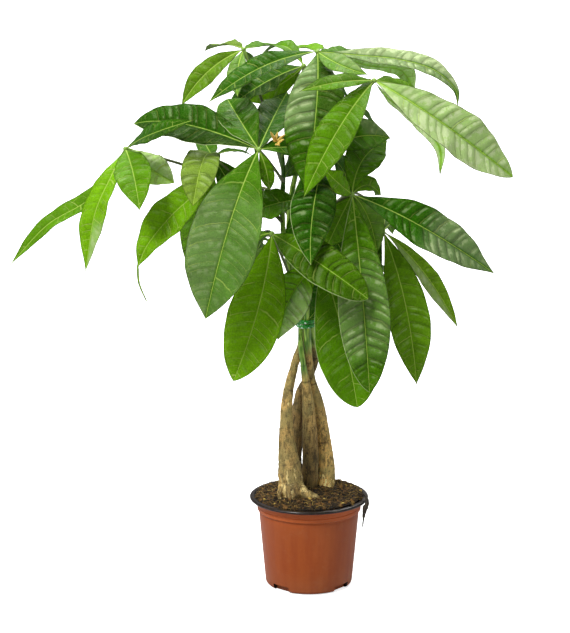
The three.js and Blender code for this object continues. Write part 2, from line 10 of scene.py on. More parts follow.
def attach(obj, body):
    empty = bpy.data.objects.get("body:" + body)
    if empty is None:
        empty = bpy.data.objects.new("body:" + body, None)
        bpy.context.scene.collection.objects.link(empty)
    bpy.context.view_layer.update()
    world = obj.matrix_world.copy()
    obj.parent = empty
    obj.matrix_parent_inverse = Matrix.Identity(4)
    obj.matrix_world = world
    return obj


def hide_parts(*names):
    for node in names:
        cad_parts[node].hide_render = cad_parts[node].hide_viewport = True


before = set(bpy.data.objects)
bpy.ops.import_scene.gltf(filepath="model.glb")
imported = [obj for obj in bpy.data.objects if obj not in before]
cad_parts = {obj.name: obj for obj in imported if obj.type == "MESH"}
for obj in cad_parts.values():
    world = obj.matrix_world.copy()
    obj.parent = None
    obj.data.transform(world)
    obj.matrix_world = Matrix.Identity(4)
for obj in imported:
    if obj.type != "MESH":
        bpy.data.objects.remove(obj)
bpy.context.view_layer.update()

MM = 0.001
CIRCLE = 2 * math.pi

# Camera and stage
CAMERA_PLACE = (-24.3, -2200, 773)
CAMERA_TILT = 12.71  # degrees below level
CAMERA_LENS = 128.93  # for a 36 mm tall sensor
LIGHT_AIM = (-0.02, 0, 0.3)
FLOOR_SIZE = 60000
WORLD_STRENGTH = 0.2
FLOOR_GLOW = 0.75

# The pot
POT_HEIGHT = 92
RIM_RADIUS = 60
FOOT_RADIUS = 44.2
NECK_RADIUS = 50.2
NECK_HEIGHT = 72
COLLAR_RADIUS = 52.4
COLLAR_BOTTOM = 77.6
LIP_BOTTOM = 88.8
LIP_WIDTH = 4.4
WALL = 1.2
NECK_GROOVE = ((0.15, 75.2), (-0.1, 75.9), (0.2, 76.6))  # out from the neck, and height
COLLAR_GROOVE = ((0.1, 81.4), (-0.35, 81.9), (-0.35, 82.3), (0.15, 82.8))  # the same from the collar
POT_SEGMENTS = 144
POT_SHARP = 35  # degrees between faces that meet in a sharp edge
RECESS_TURNS = (-131, -41, 49, 139)  # degrees round the axis
RECESS_WIDTH = 20
RECESS_HEIGHT = 6.5
RECESS_INNER_RADIUS = 38
SLOT_LENGTH = 10
SLOT_WIDTH = 3

# The soil
SOIL_EDGE = 92.3
SOIL_RISE = 3
SOIL_SLOPE = 0.02
SOIL_REACH = 54
SOIL_GAP = 0.4  # between the soil and the pot

# The tie
TIE_CENTRE = (-3.2, 0, 0)
TIE_BOTTOM = 267.3
TIE_HEIGHT = 7
TIE_RADIUS = 9.6
TIE_SIDES = 150
TIE_ROWS = 15
TIE_WINDS = 2
TIE_CRUMPLE = 0.45

# The leaves
BLADE_THICKNESS = 0.45
BLADE_SAMPLES = 400
BLADE_START = 2
FOLD = 0.2
WAVE = 0.05
WAVES = 2.3
FINE_WAVE = 0.018
FINE_WAVES = 6.3
TWIST = 7  # degrees, at most, to either side
VEIN_SPACING = 9.5  # between the side veins, along the midrib
ROWS_PER_VEIN = 6
QUILT = 1.0  # height of the swellings between the side veins of a wide leaflet
CRINKLE = 0.25  # height of the small unevenness all over a blade
SHEEN_EDGE = 0.08  # share of a leaflet's length over which its sheen fades
TAIL_ROWS = 14
TAIL_WIDTH = 1.2  # half the width of a drawn out tip where it starts
TAIL_SHADE = -0.9
PETIOLE_RADIUS = 1.4
PETIOLE_ROWS = 34
PETIOLE_SIDES = 12
KNOB_RADIUS = 3
KNOB_ROWS = 9
# Places of a blade's columns, from its midrib to its margin
COLUMNS = (0, 0.035, 0.09, 0.18, 0.3, 0.43, 0.56, 0.69, 0.81, 0.91, 1)

UPWARD = (0, -0.3, 0.95)
SLANTED = (0, -0.55, 0.83)
FORWARD = (0, -0.8, 0.6)
BACKWARD = (0, 0.5, 0.86)
LEVEL = (0, 0, 1)

# Colours, as linear red, green and blue
DEEP_GREEN = (0.022, 0.125, 0.001)
# Painted light: the yellow green of a leaf that light shines through
LIT_GREEN = (0.17, 0.41, 0.003)
OLIVE_GREEN = (0.22, 0.3, 0.03)
# Painted sheen: the pale look of a leaf that reflects the light
SHEEN_GREEN = (0.5, 0.61, 0.31)
VEIN_GREEN = (0.48, 0.68, 0.12)
# Painted shade on the leaves: a colour that darkens the far flanks of the swellings, the valleys and the
# shaded halves
PAINTED_SHADE_GREEN = (0.2, 0.26, 0.15)
MARGIN_GREEN = (0.04, 0.05, 0.01)
# Painted highlight along the margin of a leaflet's bright half
PAINTED_MARGIN_HIGHLIGHT = (0.55, 0.68, 0.3)
LEAF_GLOSS = (0.75, 1.0, 0.2)
THROUGH_GREEN = (0.1, 0.42, 0.002)
UNDERSIDE_GREEN = (0.18, 0.32, 0.07)
STALK_BROWN = (0.09, 0.1, 0.03)
STALK_GREEN = (0.22, 0.38, 0.05)
BARK_DARK = (0.15, 0.1, 0.03)
BARK_TAN = (0.49, 0.32, 0.1)
BARK_OLIVE = (0.23, 0.2, 0.07)
BARK_PALE = (0.8, 0.62, 0.25)
BARK_SPECK = (0.035, 0.022, 0.01)
BARK_RING = (0.04, 0.022, 0.01)
SHOOT_GREEN = (0.06, 0.19, 0.003)
SHOOT_PALE = (0.4, 0.6, 0.1)
SOIL_DARK = (0.008, 0.005, 0.003)
SOIL_BROWN = (0.062, 0.034, 0.004)
SOIL_RUST = (0.19, 0.093, 0.021)
SOIL_PALE = (0.58, 0.4, 0.09)
FIBRE_BROWN = (0.4, 0.25, 0.06)
ROOT_BLACK = (0.03, 0.02, 0.014)
POT_CLAY = (0.31, 0.06, 0.01)
POT_CLAY_PALE = (0.36, 0.078, 0.013)
# Painted light on the collar, where the lip casts its shade
COLLAR_PAINTED_LIGHT = (0.62, 0.14, 0.03)
POT_DUST = (0.36, 0.15, 0.07)
POT_LIP = (0.01, 0.005, 0.003)
LIP_DUST = (0.11, 0.075, 0.055)
TIE_GREEN = (0.0, 0.16, 0.005)
# Painted glints and highlights on the tie's film
TIE_GLINT = (0.03, 0.42, 0.04)
TIE_PAINTED_HIGHLIGHT = (0.8, 1.0, 0.85)
SHEATH_BROWN = (0.42, 0.23, 0.02)
SHEATH_YELLOW = (0.85, 0.66, 0.16)
FLOOR_PALE = (0.95, 0.95, 0.95)
FLOOR_GREY = (0.9, 0.9, 0.9)
FLOOR_DULL = (0.42, 0.42, 0.42)
WHITE = (1, 1, 1)
BLACK = (0, 0, 0)


# Camera, lights and floor
def link(name, data):
    """An object in the scene for a mesh, camera or lamp."""
    thing = bpy.data.objects.new(name, data)
    bpy.context.scene.collection.objects.link(thing)
    return thing


def make_camera():
    camera = bpy.data.cameras.new("camera")
    camera.sensor_fit = "VERTICAL"
    camera.sensor_height = 36
    camera.lens = CAMERA_LENS
    camera.clip_end = 100
    eye = link("camera", camera)
    eye.location = Vector(CAMERA_PLACE) * MM
    eye.rotation_euler = (math.radians(90 - CAMERA_TILT), 0, 0)
    bpy.context.scene.camera = eye


def make_softbox(name, place, size, power):
    lamp = bpy.data.lights.new(name, "AREA")
    lamp.shape = "RECTANGLE"
    lamp.size, lamp.size_y = size
    lamp.energy = power
    holder = link(name, lamp)
    holder.location = place
    holder.rotation_euler = (Vector(LIGHT_AIM) - Vector(place)).to_track_quat("-Z", "Y").to_euler()


def make_sun(name, source, power, spread):
    """A sun that shines from a direction, softened by its spread in degrees."""
    lamp = bpy.data.lights.new(name, "SUN")
    lamp.energy = power
    lamp.angle = math.radians(spread)
    link(name, lamp).rotation_euler = Vector(source).to_track_quat("Z", "Y").to_euler()


# Node trees
class Value:
    """What a node puts out. Arithmetic on it, and its methods, add further nodes."""

    def __init__(self, shader, socket):
        self.shader = shader
        self.socket = socket

    def __add__(self, other):
        return self.shader.math("ADD", self, other)

    def __sub__(self, other):
        return self.shader.math("SUBTRACT", self, other)

    def __rsub__(self, other):
        return self.shader.math("SUBTRACT", other, self)

    def __mul__(self, other):
        return self.shader.math("MULTIPLY", self, other)

    def at_most(self, limit):
        return self.shader.math("MINIMUM", self, limit)

    def at_least(self, limit):
        return self.shader.math("MAXIMUM", self, limit)

    def step(self, low, high, bottom=0.0, top=1.0):
        """Goes smoothly from bottom, where the value is low, to top, where it is high."""
        inputs = {"Value": self, "From Min": low, "From Max": high, "To Min": bottom, "To Max": top}
        return self.shader.add("ShaderNodeMapRange", inputs, interpolation_type="SMOOTHSTEP")


class Shader:
    """Adds nodes to a tree and joins them, with values of other nodes or plain ones as inputs."""

    def __init__(self, tree):
        self.tree = tree
        self.tree.nodes.clear()

    def node(self, kind, inputs, settings):
        node = self.tree.nodes.new(kind)
        for name, setting in settings.items():
            setattr(node, name, setting)
        for name, value in (inputs or {}).items():
            socket = node.inputs[name]
            if isinstance(value, Value):
                self.tree.links.new(value.socket, socket)
            else:
                socket.default_value = (*value, 1.0) if socket.type == "RGBA" else value
        return node

    def add(self, kind, inputs=None, output=0, **settings):
        """Adds a node and gives one of its outputs."""
        node = self.node(kind, inputs, settings)
        return Value(self, node.outputs[output]) if node.outputs else None

    def values(self, kind, inputs=None, **settings):
        """Adds a node and gives all its outputs by their names."""
        return {socket.name: Value(self, socket) for socket in self.node(kind, inputs, settings).outputs}

    def math(self, operation, first, second=0.0):
        return self.add("ShaderNodeMath", {0: first, 1: second}, operation=operation)

    def mix(self, factor, first, second, blend="MIX"):
        inputs = {0: factor, 6: first, 7: second}
        return self.add("ShaderNodeMix", inputs, 2, data_type="RGBA", blend_type=blend, clamp_factor=True)

    def brightened(self, color, value):
        return self.add("ShaderNodeHueSaturation", {"Color": color, "Value": value})

    def noise(self, place, scale, detail=3.0, roughness=0.5):
        inputs = {"Vector": place, "Scale": scale, "Detail": detail, "Roughness": roughness}
        return self.add("ShaderNodeTexNoise", inputs, "Fac")

    def cells(self, place, scale, feature):
        inputs = {"Vector": place, "Scale": scale}
        return self.add("ShaderNodeTexVoronoi", inputs, "Distance", feature=feature)

    def attribute(self, name):
        return self.add("ShaderNodeAttribute", None, "Fac", attribute_name=name)

    def three_attributes(self, name):
        """The three numbers of an attribute that holds a vector."""
        return self.split(self.add("ShaderNodeAttribute", None, "Vector", attribute_name=name))

    def split(self, vector):
        return list(self.values("ShaderNodeSeparateXYZ", {0: vector}).values())

    def stretched(self, place, height_scale):
        """The place with its height scaled, which draws a pattern out along the height."""
        return self.add("ShaderNodeMapping", {"Vector": place, "Scale": (1.0, 1.0, height_scale)})

    def place(self):
        return self.add("ShaderNodeTexCoord", None, "Object")

    def bump(self, height, distance, strength):
        return self.add("ShaderNodeBump", {"Height": height, "Distance": distance, "Strength": strength})

    def principled(self, color, roughness, **more):
        """The main shader. Names of further sockets have their spaces as underscores."""
        inputs = {"Base Color": color, "Roughness": roughness}
        inputs.update({name.replace("_", " "): value for name, value in more.items()})
        return self.add("ShaderNodeBsdfPrincipled", inputs)

    def output(self, surface):
        self.add("ShaderNodeOutputMaterial", {"Surface": surface})


def new_material(name):
    material = bpy.data.materials.new(name)
    material.use_nodes = True
    return material, Shader(material.node_tree)


SOCKET_KINDS = {"Color": "NodeSocketColor", "Place": "NodeSocketVector", "Geometry": "NodeSocketGeometry",
                "Seed": "NodeSocketInt", "Material": "NodeSocketMaterial"}


def new_group(name, kind, inputs, outputs):
    """A node group with named sockets, its maker and its inputs. Sockets of no named kind are numbers."""
    tree = bpy.data.node_groups.new(name, kind)
    for way, names in (("INPUT", inputs), ("OUTPUT", outputs)):
        for socket_name in names:
            socket_kind = SOCKET_KINDS.get(socket_name, "NodeSocketFloat")
            tree.interface.new_socket(socket_name, in_out=way, socket_type=socket_kind)
    shader = Shader(tree)
    return tree, shader, shader.values("NodeGroupInput")


def make_mottle_group():
    """Varies a colour in broad patches and fine grain."""
    tree, shader, given = new_group("mottle", "ShaderNodeTree", ("Color", "Place", "Scale", "Amount"),
                                    ("Color", "Grain"))
    broad = shader.noise(given["Place"], given["Scale"], 2.0)
    fine = shader.noise(given["Place"], given["Scale"] * 9.0, 3.0, 0.6)
    value = (broad * 0.4 + fine * 0.6 - 0.5) * given["Amount"] + 1.0
    shader.add("NodeGroupOutput", {"Color": shader.brightened(given["Color"], value), "Grain": fine})
    return tree


def mottled(shader, mottle, color, place, scale, amount):
    """A colour made uneven, and the grain of its unevenness."""
    inputs = {"Color": color, "Place": place, "Scale": scale, "Amount": amount}
    made = shader.values("ShaderNodeGroup", inputs, node_tree=mottle)
    return made["Color"], made["Grain"]


def make_vein_group():
    """Lines of the midrib, the side veins, the loops that join them, and the fine net between them.

    Flank runs from 1 on the side of each swelling nearer the leaf's hub to 0 on the other side.
    """
    inputs = ("Away", "Vein", "Along", "Margin", "Place")
    outputs = ("Midrib", "Side veins", "Net", "Valley", "Flank")
    tree, shader, given = new_group("leaf_veins", "ShaderNodeTree", inputs, outputs)
    away, margin, place = given["Away"], given["Margin"], given["Place"]
    width = given["Along"] * -0.5 + 0.85
    bend = shader.noise(place, 130.0, 2.0) * 0.2 + given["Vein"]
    spread = shader.math("PINGPONG", bend, 0.5)
    line = spread.step(0.06, 0.018) * margin.step(1.6, 3.2)
    arch = shader.math("COSINE", bend * CIRCLE) * 0.9 + 2.9
    loop = shader.math("ABSOLUTE", margin - arch).step(0.4, 0.1)
    patchy = shader.noise(place, 50.0, 2.0).step(0.38, 0.62, 0.1, 1.0)
    clear = away.step(0.5, 4.0) * margin.step(0.5, 4.0)
    shader.add("NodeGroupOutput", {
        "Midrib": away.step(width, width * 0.35),
        "Side veins": line.at_least(loop * 0.7) * patchy,
        "Net": shader.cells(place, 330.0, "DISTANCE_TO_EDGE").step(0.12, 0.0),
        "Valley": spread.step(0.14, 0.03),
        "Flank": shader.math("SINE", bend * CIRCLE) * clear * 0.5 + 0.5,
    })
    return tree


def make_leaf_material(mottle, veins):
    material, shader = new_material("leaf_blade")
    place = shader.place()
    away, vein, along = shader.three_attributes("blade")
    lit, olive, sheen = shader.three_attributes("tone")
    margin, bright, quilt = shader.three_attributes("edge")
    under = shader.attribute("under")
    inputs = {"Away": away, "Vein": vein, "Along": along, "Margin": margin, "Place": place}
    lines = shader.values("ShaderNodeGroup", inputs, node_tree=veins)
    flank = lines["Flank"]
    relief = (quilt * 0.5).at_most(1.0)
    # Painted light: lit turns the deep green towards the yellow green of light shining through the leaf
    green = shader.mix(lit, DEEP_GREEN, LIT_GREEN)
    green = shader.mix(olive, green, OLIVE_GREEN)
    green, grain = mottled(shader, mottle, green, place, 75.0, 2.0)
    # Painted shade: darker on the flank of each swelling further from the hub, which faces down, and darker
    # still in the valleys along the side veins
    green = shader.mix((1.0 - flank) * relief * 0.25, green, PAINTED_SHADE_GREEN, "MULTIPLY")
    green = shader.mix(lines["Valley"] * relief * 0.9, green, PAINTED_SHADE_GREEN, "MULTIPLY")
    # Painted highlights: glints on the flank of each swelling nearer the hub, in uneven patches, and the
    # painted sheen of the leaflets that have one, in streaks
    uneven = shader.noise(place, 120.0, 3.0, 0.6).step(0.42, 0.62)
    glint = flank.step(0.7, 1.0) * relief * uneven * 0.42
    streak = (flank * uneven + 0.62).at_most(1.0)
    pale = sheen.at_least(0.0) * streak + glint
    green = shader.mix(pale.at_most(1.0), green, SHEEN_GREEN)
    # Painted shade where a leaflet's sheen is below 0
    green = shader.mix((sheen * -1.0).at_least(0.0), green, PAINTED_SHADE_GREEN, "MULTIPLY")
    # Painted light: a lit above 1 brightens the whole colour, to make up for shade
    green = shader.brightened(green, lit.at_least(1.0))
    green = shader.mix(lines["Net"] * 0.06, green, VEIN_GREEN)
    green = shader.mix(lines["Side veins"] * (lit * 0.3 + 0.5 - relief * 0.3), green, VEIN_GREEN)
    green = shader.mix(lines["Midrib"] * 0.85, green, VEIN_GREEN)
    # The margin: dark green, and a painted highlight on the half that the leaflet's rim picks
    green = shader.mix(margin.step(0.8, 0.2) * 0.8, green, shader.mix(bright, MARGIN_GREEN, PAINTED_MARGIN_HIGHLIGHT))
    green = shader.mix(under, green, shader.mix(0.4, green, UNDERSIDE_GREEN))
    height = grain - lines["Valley"] * relief * 1.2 + lines["Side veins"] * 0.8 - lines["Net"] * 0.4
    skin = shader.principled(green, grain * 0.15 + 0.24 + under * 0.2, Specular_IOR_Level=0.13,
                             Specular_Tint=LEAF_GLOSS, Normal=shader.bump(height, 0.0006, 0.8))
    through = shader.add("ShaderNodeBsdfTranslucent", {"Color": shader.mix(0.6, green, THROUGH_GREEN)})
    shader.output(shader.add("ShaderNodeMixShader", {0: 0.18, 1: skin, 2: through}))
    return material


def make_petiole_material(mottle):
    material, shader = new_material("leaf_stalk")
    # The first number of the tone is here the stalk's own colour: greener towards the hub
    lit = shader.three_attributes("tone")[0]
    color = shader.mix(lit, STALK_BROWN, STALK_GREEN)
    color, grain = mottled(shader, mottle, color, shader.stretched(shader.place(), 0.25), 300.0, 0.7)
    shader.output(shader.principled(color, 0.45, Normal=shader.bump(grain, 0.0002, 0.5)))
    return material


def make_bark_material(mottle):
    """Bark below and the green skin of the shoot above, with a dark scar at each ring."""
    material, shader = new_material("bark")
    place = shader.place()
    green, scar, low = shader.three_attributes("bark")
    drawn_out = shader.stretched(place, 0.35)
    patches = shader.noise(drawn_out, 210.0, 6.0, 0.75)
    color = shader.mix(patches.step(0.41, 0.53), BARK_DARK, BARK_TAN)
    color = shader.mix(shader.noise(place, 45.0).step(0.42, 0.6, 0.0, 0.6), color, BARK_OLIVE)
    fibre = shader.noise(shader.stretched(place, 0.12), 480.0, 4.0, 0.65)
    color = shader.mix(fibre.step(0.5, 0.64) * 0.6, color, BARK_DARK)
    flake = shader.noise(drawn_out, 170.0, 5.0, 0.7)
    flakes = (flake + low * 0.15 - 0.66).step(0.0, 0.03)
    color = shader.mix(flakes * 0.8, color, BARK_PALE)
    specks = shader.cells(place, 900.0, "F1").step(0.22, 0.1)
    color = shader.mix(specks * 0.6, color, BARK_SPECK)
    pits = shader.noise(place, 520.0, 4.0, 0.7).step(0.56, 0.64)
    color = shader.mix(pits * 0.7, color, BARK_SPECK)
    color = shader.mix(scar * 0.8, color, BARK_RING)
    # Painted light and shade of each trunk and root
    color = shader.brightened(color, shader.attribute("dim"))
    streak = shader.noise(shader.stretched(place, 0.08), 260.0, 2.0)
    shoot = shader.mix(streak.step(0.42, 0.62), SHOOT_GREEN, SHOOT_PALE)
    shoot = shader.mix(scar * 0.5, shoot, BARK_RING)
    color = mottled(shader, mottle, shader.mix(green, color, shoot), place, 160.0, 0.9)[0]
    height = (flakes * 0.8 + patches * 1.2 - specks * 0.5 - fibre * 1.5) * (1.0 - green * 0.9)
    rough = green.step(0.0, 1.0, 0.8, 0.3)
    shader.output(shader.principled(color, rough, Normal=shader.bump(height, 0.0011, 0.9)))
    return material


def make_soil_material(mottle, name, dark, light, wet):
    """Soil, fibre or dead root. Each crumb has its own shade, and a few are rust brown or pale."""
    material, shader = new_material(name)
    place = shader.place()
    shade = shader.attribute("shade")
    grain = shader.noise(place, 260.0, 6.0, 0.7)
    color = shader.mix(grain.step(0.35, 0.7), dark, light)
    # Crumbs with a low shade are darker. The mound and the dead root, whose shade is 0, darken most: on the
    # mound this is painted shade in the gaps between the crumbs
    color = shader.mix(shade.step(0.3, 0.1, 0.0, 0.6), color, SOIL_DARK)
    color = shader.mix(shade.step(0.7, 0.95), color, SOIL_RUST)
    color = shader.mix(shade.step(0.96, 0.97), color, SOIL_PALE)
    color = mottled(shader, mottle, color, place, 300.0, 1.2)[0]
    shader.output(shader.principled(color, wet, Normal=shader.bump(grain, 0.0012, 0.9)))
    return material


def make_pot_material(mottle):
    """Terracotta outside with painted light on the collar, and dark on the lip and inside."""
    material, shader = new_material("pot_plastic")
    place = shader.place()
    height = shader.split(place)[2]
    normal = shader.add("ShaderNodeNewGeometry", None, "Normal")
    level = shader.stretched(place, 0.0)
    outward = shader.add("ShaderNodeVectorMath", {0: normal, 1: level}, "Value", operation="DOT_PRODUCT")
    inner = outward.step(-0.001, -0.006)
    dark = inner.at_least(height.step((LIP_BOTTOM + 0.1) * MM, (LIP_BOTTOM + 0.5) * MM))
    streaks = shader.noise(shader.stretched(place, 0.06), 120.0)
    dust = shader.noise(place, 60.0, 5.0, 0.7)
    clay = shader.mix(streaks.step(0.3, 0.75), POT_CLAY, POT_CLAY_PALE)
    clay = shader.mix(dust.step(0.5, 0.8) * 0.25, clay, POT_DUST)
    clay = shader.mix(height.step(0.03, 0.0) * 0.2, clay, POT_DUST)
    # Painted light on the collar, to make up for the lip's shade
    collar = height.step((COLLAR_BOTTOM - 1.5) * MM, (COLLAR_BOTTOM + 1) * MM)
    clay = shader.mix(collar * 0.45, clay, COLLAR_PAINTED_LIGHT)
    lip = shader.mix(dust.step(0.5, 0.7, 0.0, 0.6), POT_LIP, LIP_DUST)
    color, grain = mottled(shader, mottle, shader.mix(dark, clay, lip), place, 35.0, 0.25)
    rough = dust * 0.18 + 0.33 - dark * 0.06
    relief = shader.bump(streaks * 0.6 + grain, 0.00012, 0.5)
    shader.output(shader.principled(color, rough, Specular_IOR_Level=0.3, Coat_Weight=dark * 0.3,
                                    Coat_Roughness=0.08, Normal=relief))
    return material


def make_tie_material():
    material, shader = new_material("tie_film")
    place = shader.place()
    folds = shader.noise(place, 700.0, 2.0)
    # Painted reflections: a lighter green on the folds of the film, and small white painted highlights
    color = shader.mix(folds.step(0.4, 0.65), TIE_GREEN, TIE_GLINT)
    color = shader.mix(shader.noise(place, 230.0, 1.0).step(0.58, 0.64), color, TIE_PAINTED_HIGHLIGHT)
    shader.output(shader.principled(color, 0.25, Coat_Weight=0.25, Normal=shader.bump(folds, 0.0008, 0.6)))
    return material


def make_sheath_material(mottle):
    material, shader = new_material("dry_sheath")
    place = shader.place()
    stripes = shader.noise(shader.stretched(place, 0.3), 500.0)
    color = shader.mix(stripes.step(0.35, 0.65), SHEATH_BROWN, SHEATH_YELLOW)
    color = mottled(shader, mottle, color, place, 200.0, 0.6)[0]
    shader.output(shader.principled(color, 0.6, Normal=shader.bump(stripes, 0.0003, 0.6)))
    return material


# Meshes
class Body:
    """Gathers closed shapes and what their points carry, and makes one mesh of them."""

    def __init__(self):
        self.places = []
        self.faces = []
        self.slots = []
        self.carried = {}
        self.count = 0

    def add(self, places, faces, slot=0, **carried):
        """places are in millimetres. carried gives each point a number or a vector, by name."""
        self.places.append(np.asarray(places, float))
        self.faces.extend([tuple(corner + self.count for corner in face) for face in faces])
        self.slots.extend([slot] * len(faces))
        for name, values in carried.items():
            self.carried.setdefault(name, []).append((self.count, np.asarray(values, float)))
        self.count += len(places)

    def make(self, name, materials, sharp=50):
        mesh = bpy.data.meshes.new(name)
        mesh.from_pydata((np.concatenate(self.places) * MM).tolist(), [], self.faces)
        for material in materials:
            mesh.materials.append(material)
        mesh.polygons.foreach_set("material_index", self.slots)
        for carried_name, blocks in self.carried.items():
            wide = blocks[0][1].ndim == 2
            whole = np.zeros((self.count, 3) if wide else self.count)
            for first, values in blocks:
                whole[first:first + len(values)] = values
            kind, field = ("FLOAT_VECTOR", "vector") if wide else ("FLOAT", "value")
            mesh.attributes.new(carried_name, kind, "POINT").data.foreach_set(field, whole.ravel())
        mesh.validate()
        mesh.shade_smooth()
        mesh.set_sharp_from_angle(angle=math.radians(sharp))
        return link(name, mesh)


def ease(value, low, high):
    """Rises smoothly from 0 at low to 1 at high."""
    share = np.clip((value - low) / (high - low), 0, 1)
    return share * share * (3 - 2 * share)


def bell(value, width, centre=0.0):
    """1 at the centre, falling to nothing on both sides."""
    return np.exp(-((value - centre) / width) ** 2)


def unit(vectors):
    return vectors / np.linalg.norm(vectors, axis=-1, keepdims=True)


def turns_of(count):
    """Angles of points that are spread evenly round a circle."""
    return CIRCLE * np.arange(count) / count


def ring(radius, height, count, centre=(0, 0, 0)):
    """Points round an upright axis."""
    turns = turns_of(count)
    circle = np.stack([radius * np.cos(turns), radius * np.sin(turns), height + 0 * turns], axis=1)
    return np.array(centre) + circle


def rough_at(places, size, stretch=1.0, shift=0.0):
    """Smooth noise at each place, from about -1 to 1, with features of a size in millimetres."""
    scaled = places / (size, size, size * stretch) + shift
    return np.array([noise.noise(Vector(place)) for place in scaled])


def layered(places, layers, shift=0):
    """Noise in layers, each with its height, its size, how far it is drawn out upwards, and a shift."""
    return sum(high * rough_at(places, size, stretch, shift + more) for high, size, stretch, more in layers)


def curve_at(points, along):
    """Points of a centripetal Catmull-Rom curve, with any further columns carried along."""
    points = np.asarray(points, float)
    along = np.asarray(along, float) * (len(points) - 1)
    index = np.minimum(along.astype(int), len(points) - 2)
    share = (along - index)[:, None]
    padded = np.vstack([2 * points[0] - points[1], points, 2 * points[-1] - points[-2]])
    p0, p1, p2, p3 = (padded[index + shift] for shift in range(4))
    pairs = ((p0, p1), (p1, p2), (p2, p3))
    d0, d1, d2 = (np.sqrt(np.linalg.norm((b - a)[:, :3], axis=1))[:, None] for a, b in pairs)
    leave = ((p1 - p0) / d0 - (p2 - p0) / (d0 + d1) + (p2 - p1) / d1) * d1
    arrive = ((p2 - p1) / d1 - (p3 - p1) / (d1 + d2) + (p3 - p2) / d2) * d1
    square = -3 * p1 + 3 * p2 - 2 * leave - arrive
    cube = 2 * p1 - 2 * p2 + leave + arrive
    return p1 + share * (leave + share * (square + share * cube))


def arch_at(start, via, end, along):
    """Points of an arch that passes through one point at its middle."""
    start, via, end = (np.asarray(place, float) for place in (start, via, end))
    pull = 2 * via - 0.5 * start - 0.5 * end
    share = np.asarray(along, float)[:, None]
    return (1 - share) ** 2 * start + 2 * share * (1 - share) * pull + share ** 2 * end


def run_along(line):
    """The length of a line up to each of its points."""
    return np.concatenate([[0], np.cumsum(np.linalg.norm(np.diff(line, axis=0), axis=1))])


def by_length(dense, shares):
    """Points and directions at shares of a densely sampled curve's length."""
    run = run_along(dense)

    def at_shares(table):
        return np.stack([np.interp(shares * run[-1], run, column) for column in table.T], axis=1)

    return at_shares(dense), unit(at_shares(np.gradient(dense, run, axis=0)))


def grid_faces(rows, columns, closed_round):
    """Quads between rows of points. closed_round joins the last column to the first."""
    faces = []
    for row in range(rows - 1):
        for column in range(columns if closed_round else columns - 1):
            near = row * columns + column
            next_column = row * columns + (column + 1) % columns
            faces.append((near, next_column, next_column + columns, near + columns))
    return faces


def add_tube(body, centres, radii, sides, slot=0, **carried):
    """Adds a round body along its centres. Gives its points and their outward directions.

    radii has a row of numbers for each centre, or one number.
    """
    centres = np.asarray(centres, float)
    forward = unit(np.gradient(centres, axis=0))
    side = unit(np.cross((0.0, 1.0, 0.0), forward[0]))
    turns = turns_of(sides)[:, None]
    rings = []
    for index, centre in enumerate(centres):
        side = unit(side - forward[index] * np.dot(side, forward[index]))
        up = np.cross(forward[index], side)
        radius = np.broadcast_to(radii[index], sides)[:, None]
        rings.append(centre + radius * (np.cos(turns) * side + np.sin(turns) * up))
    places = np.concatenate(rings)
    faces = grid_faces(len(centres), sides, True)
    faces.append(tuple(reversed(range(sides))))
    faces.append(tuple(range(len(places) - sides, len(places))))
    spread = {name: np.repeat(np.asarray(values, float), sides, axis=0) for name, values in carried.items()}
    body.add(places, faces, slot, **spread)
    return places, unit(places - np.repeat(centres, sides, axis=0))


def add_sheet(body, top, low, **carried):
    """Adds a thin closed sheet between two grids of points."""
    rows, columns = top.shape[:2]
    count = rows * columns
    faces = grid_faces(rows, columns, False)
    faces += [tuple(count + corner for corner in reversed(quad)) for quad in faces]
    for row in range(rows - 1):
        left = row * columns
        right = left + columns - 1
        faces.append((count + left, left, left + columns, count + left + columns))
        faces.append((right, count + right, count + right + columns, right + columns))
    for near in range(columns - 1):
        far = count - columns + near
        faces.append((near, near + count, near + count + 1, near + 1))
        faces.append((far, far + 1, far + 1 + count, far + count))
    body.add(np.concatenate([top.reshape(-1, 3), low.reshape(-1, 3)]), faces, **carried)


def merge_doubles(piece):
    """Joins the points that lie on one another, such as those on an axis."""
    shape = bmesh.new()
    shape.from_mesh(piece.data)
    bmesh.ops.remove_doubles(shape, verts=shape.verts, dist=1e-6)
    shape.to_mesh(piece.data)
    shape.free()


def apply_modifiers(piece):
    """Keeps what the modifiers make of a piece as its plain mesh."""
    graph = bpy.context.evaluated_depsgraph_get()
    mesh = bpy.data.meshes.new_from_object(piece.evaluated_get(graph))
    piece.modifiers.clear()
    piece.data = mesh


def cut(piece, tool):
    """Cuts a tool out of a piece, and removes the tool."""
    modifier = piece.modifiers.new("cut", "BOOLEAN")
    modifier.solver = "EXACT"
    modifier.object = tool
    apply_modifiers(piece)
    bpy.data.objects.remove(tool)


def turned(piece, degrees):
    piece.data.transform(Matrix.Rotation(math.radians(degrees), 4, "Z"))
    return piece


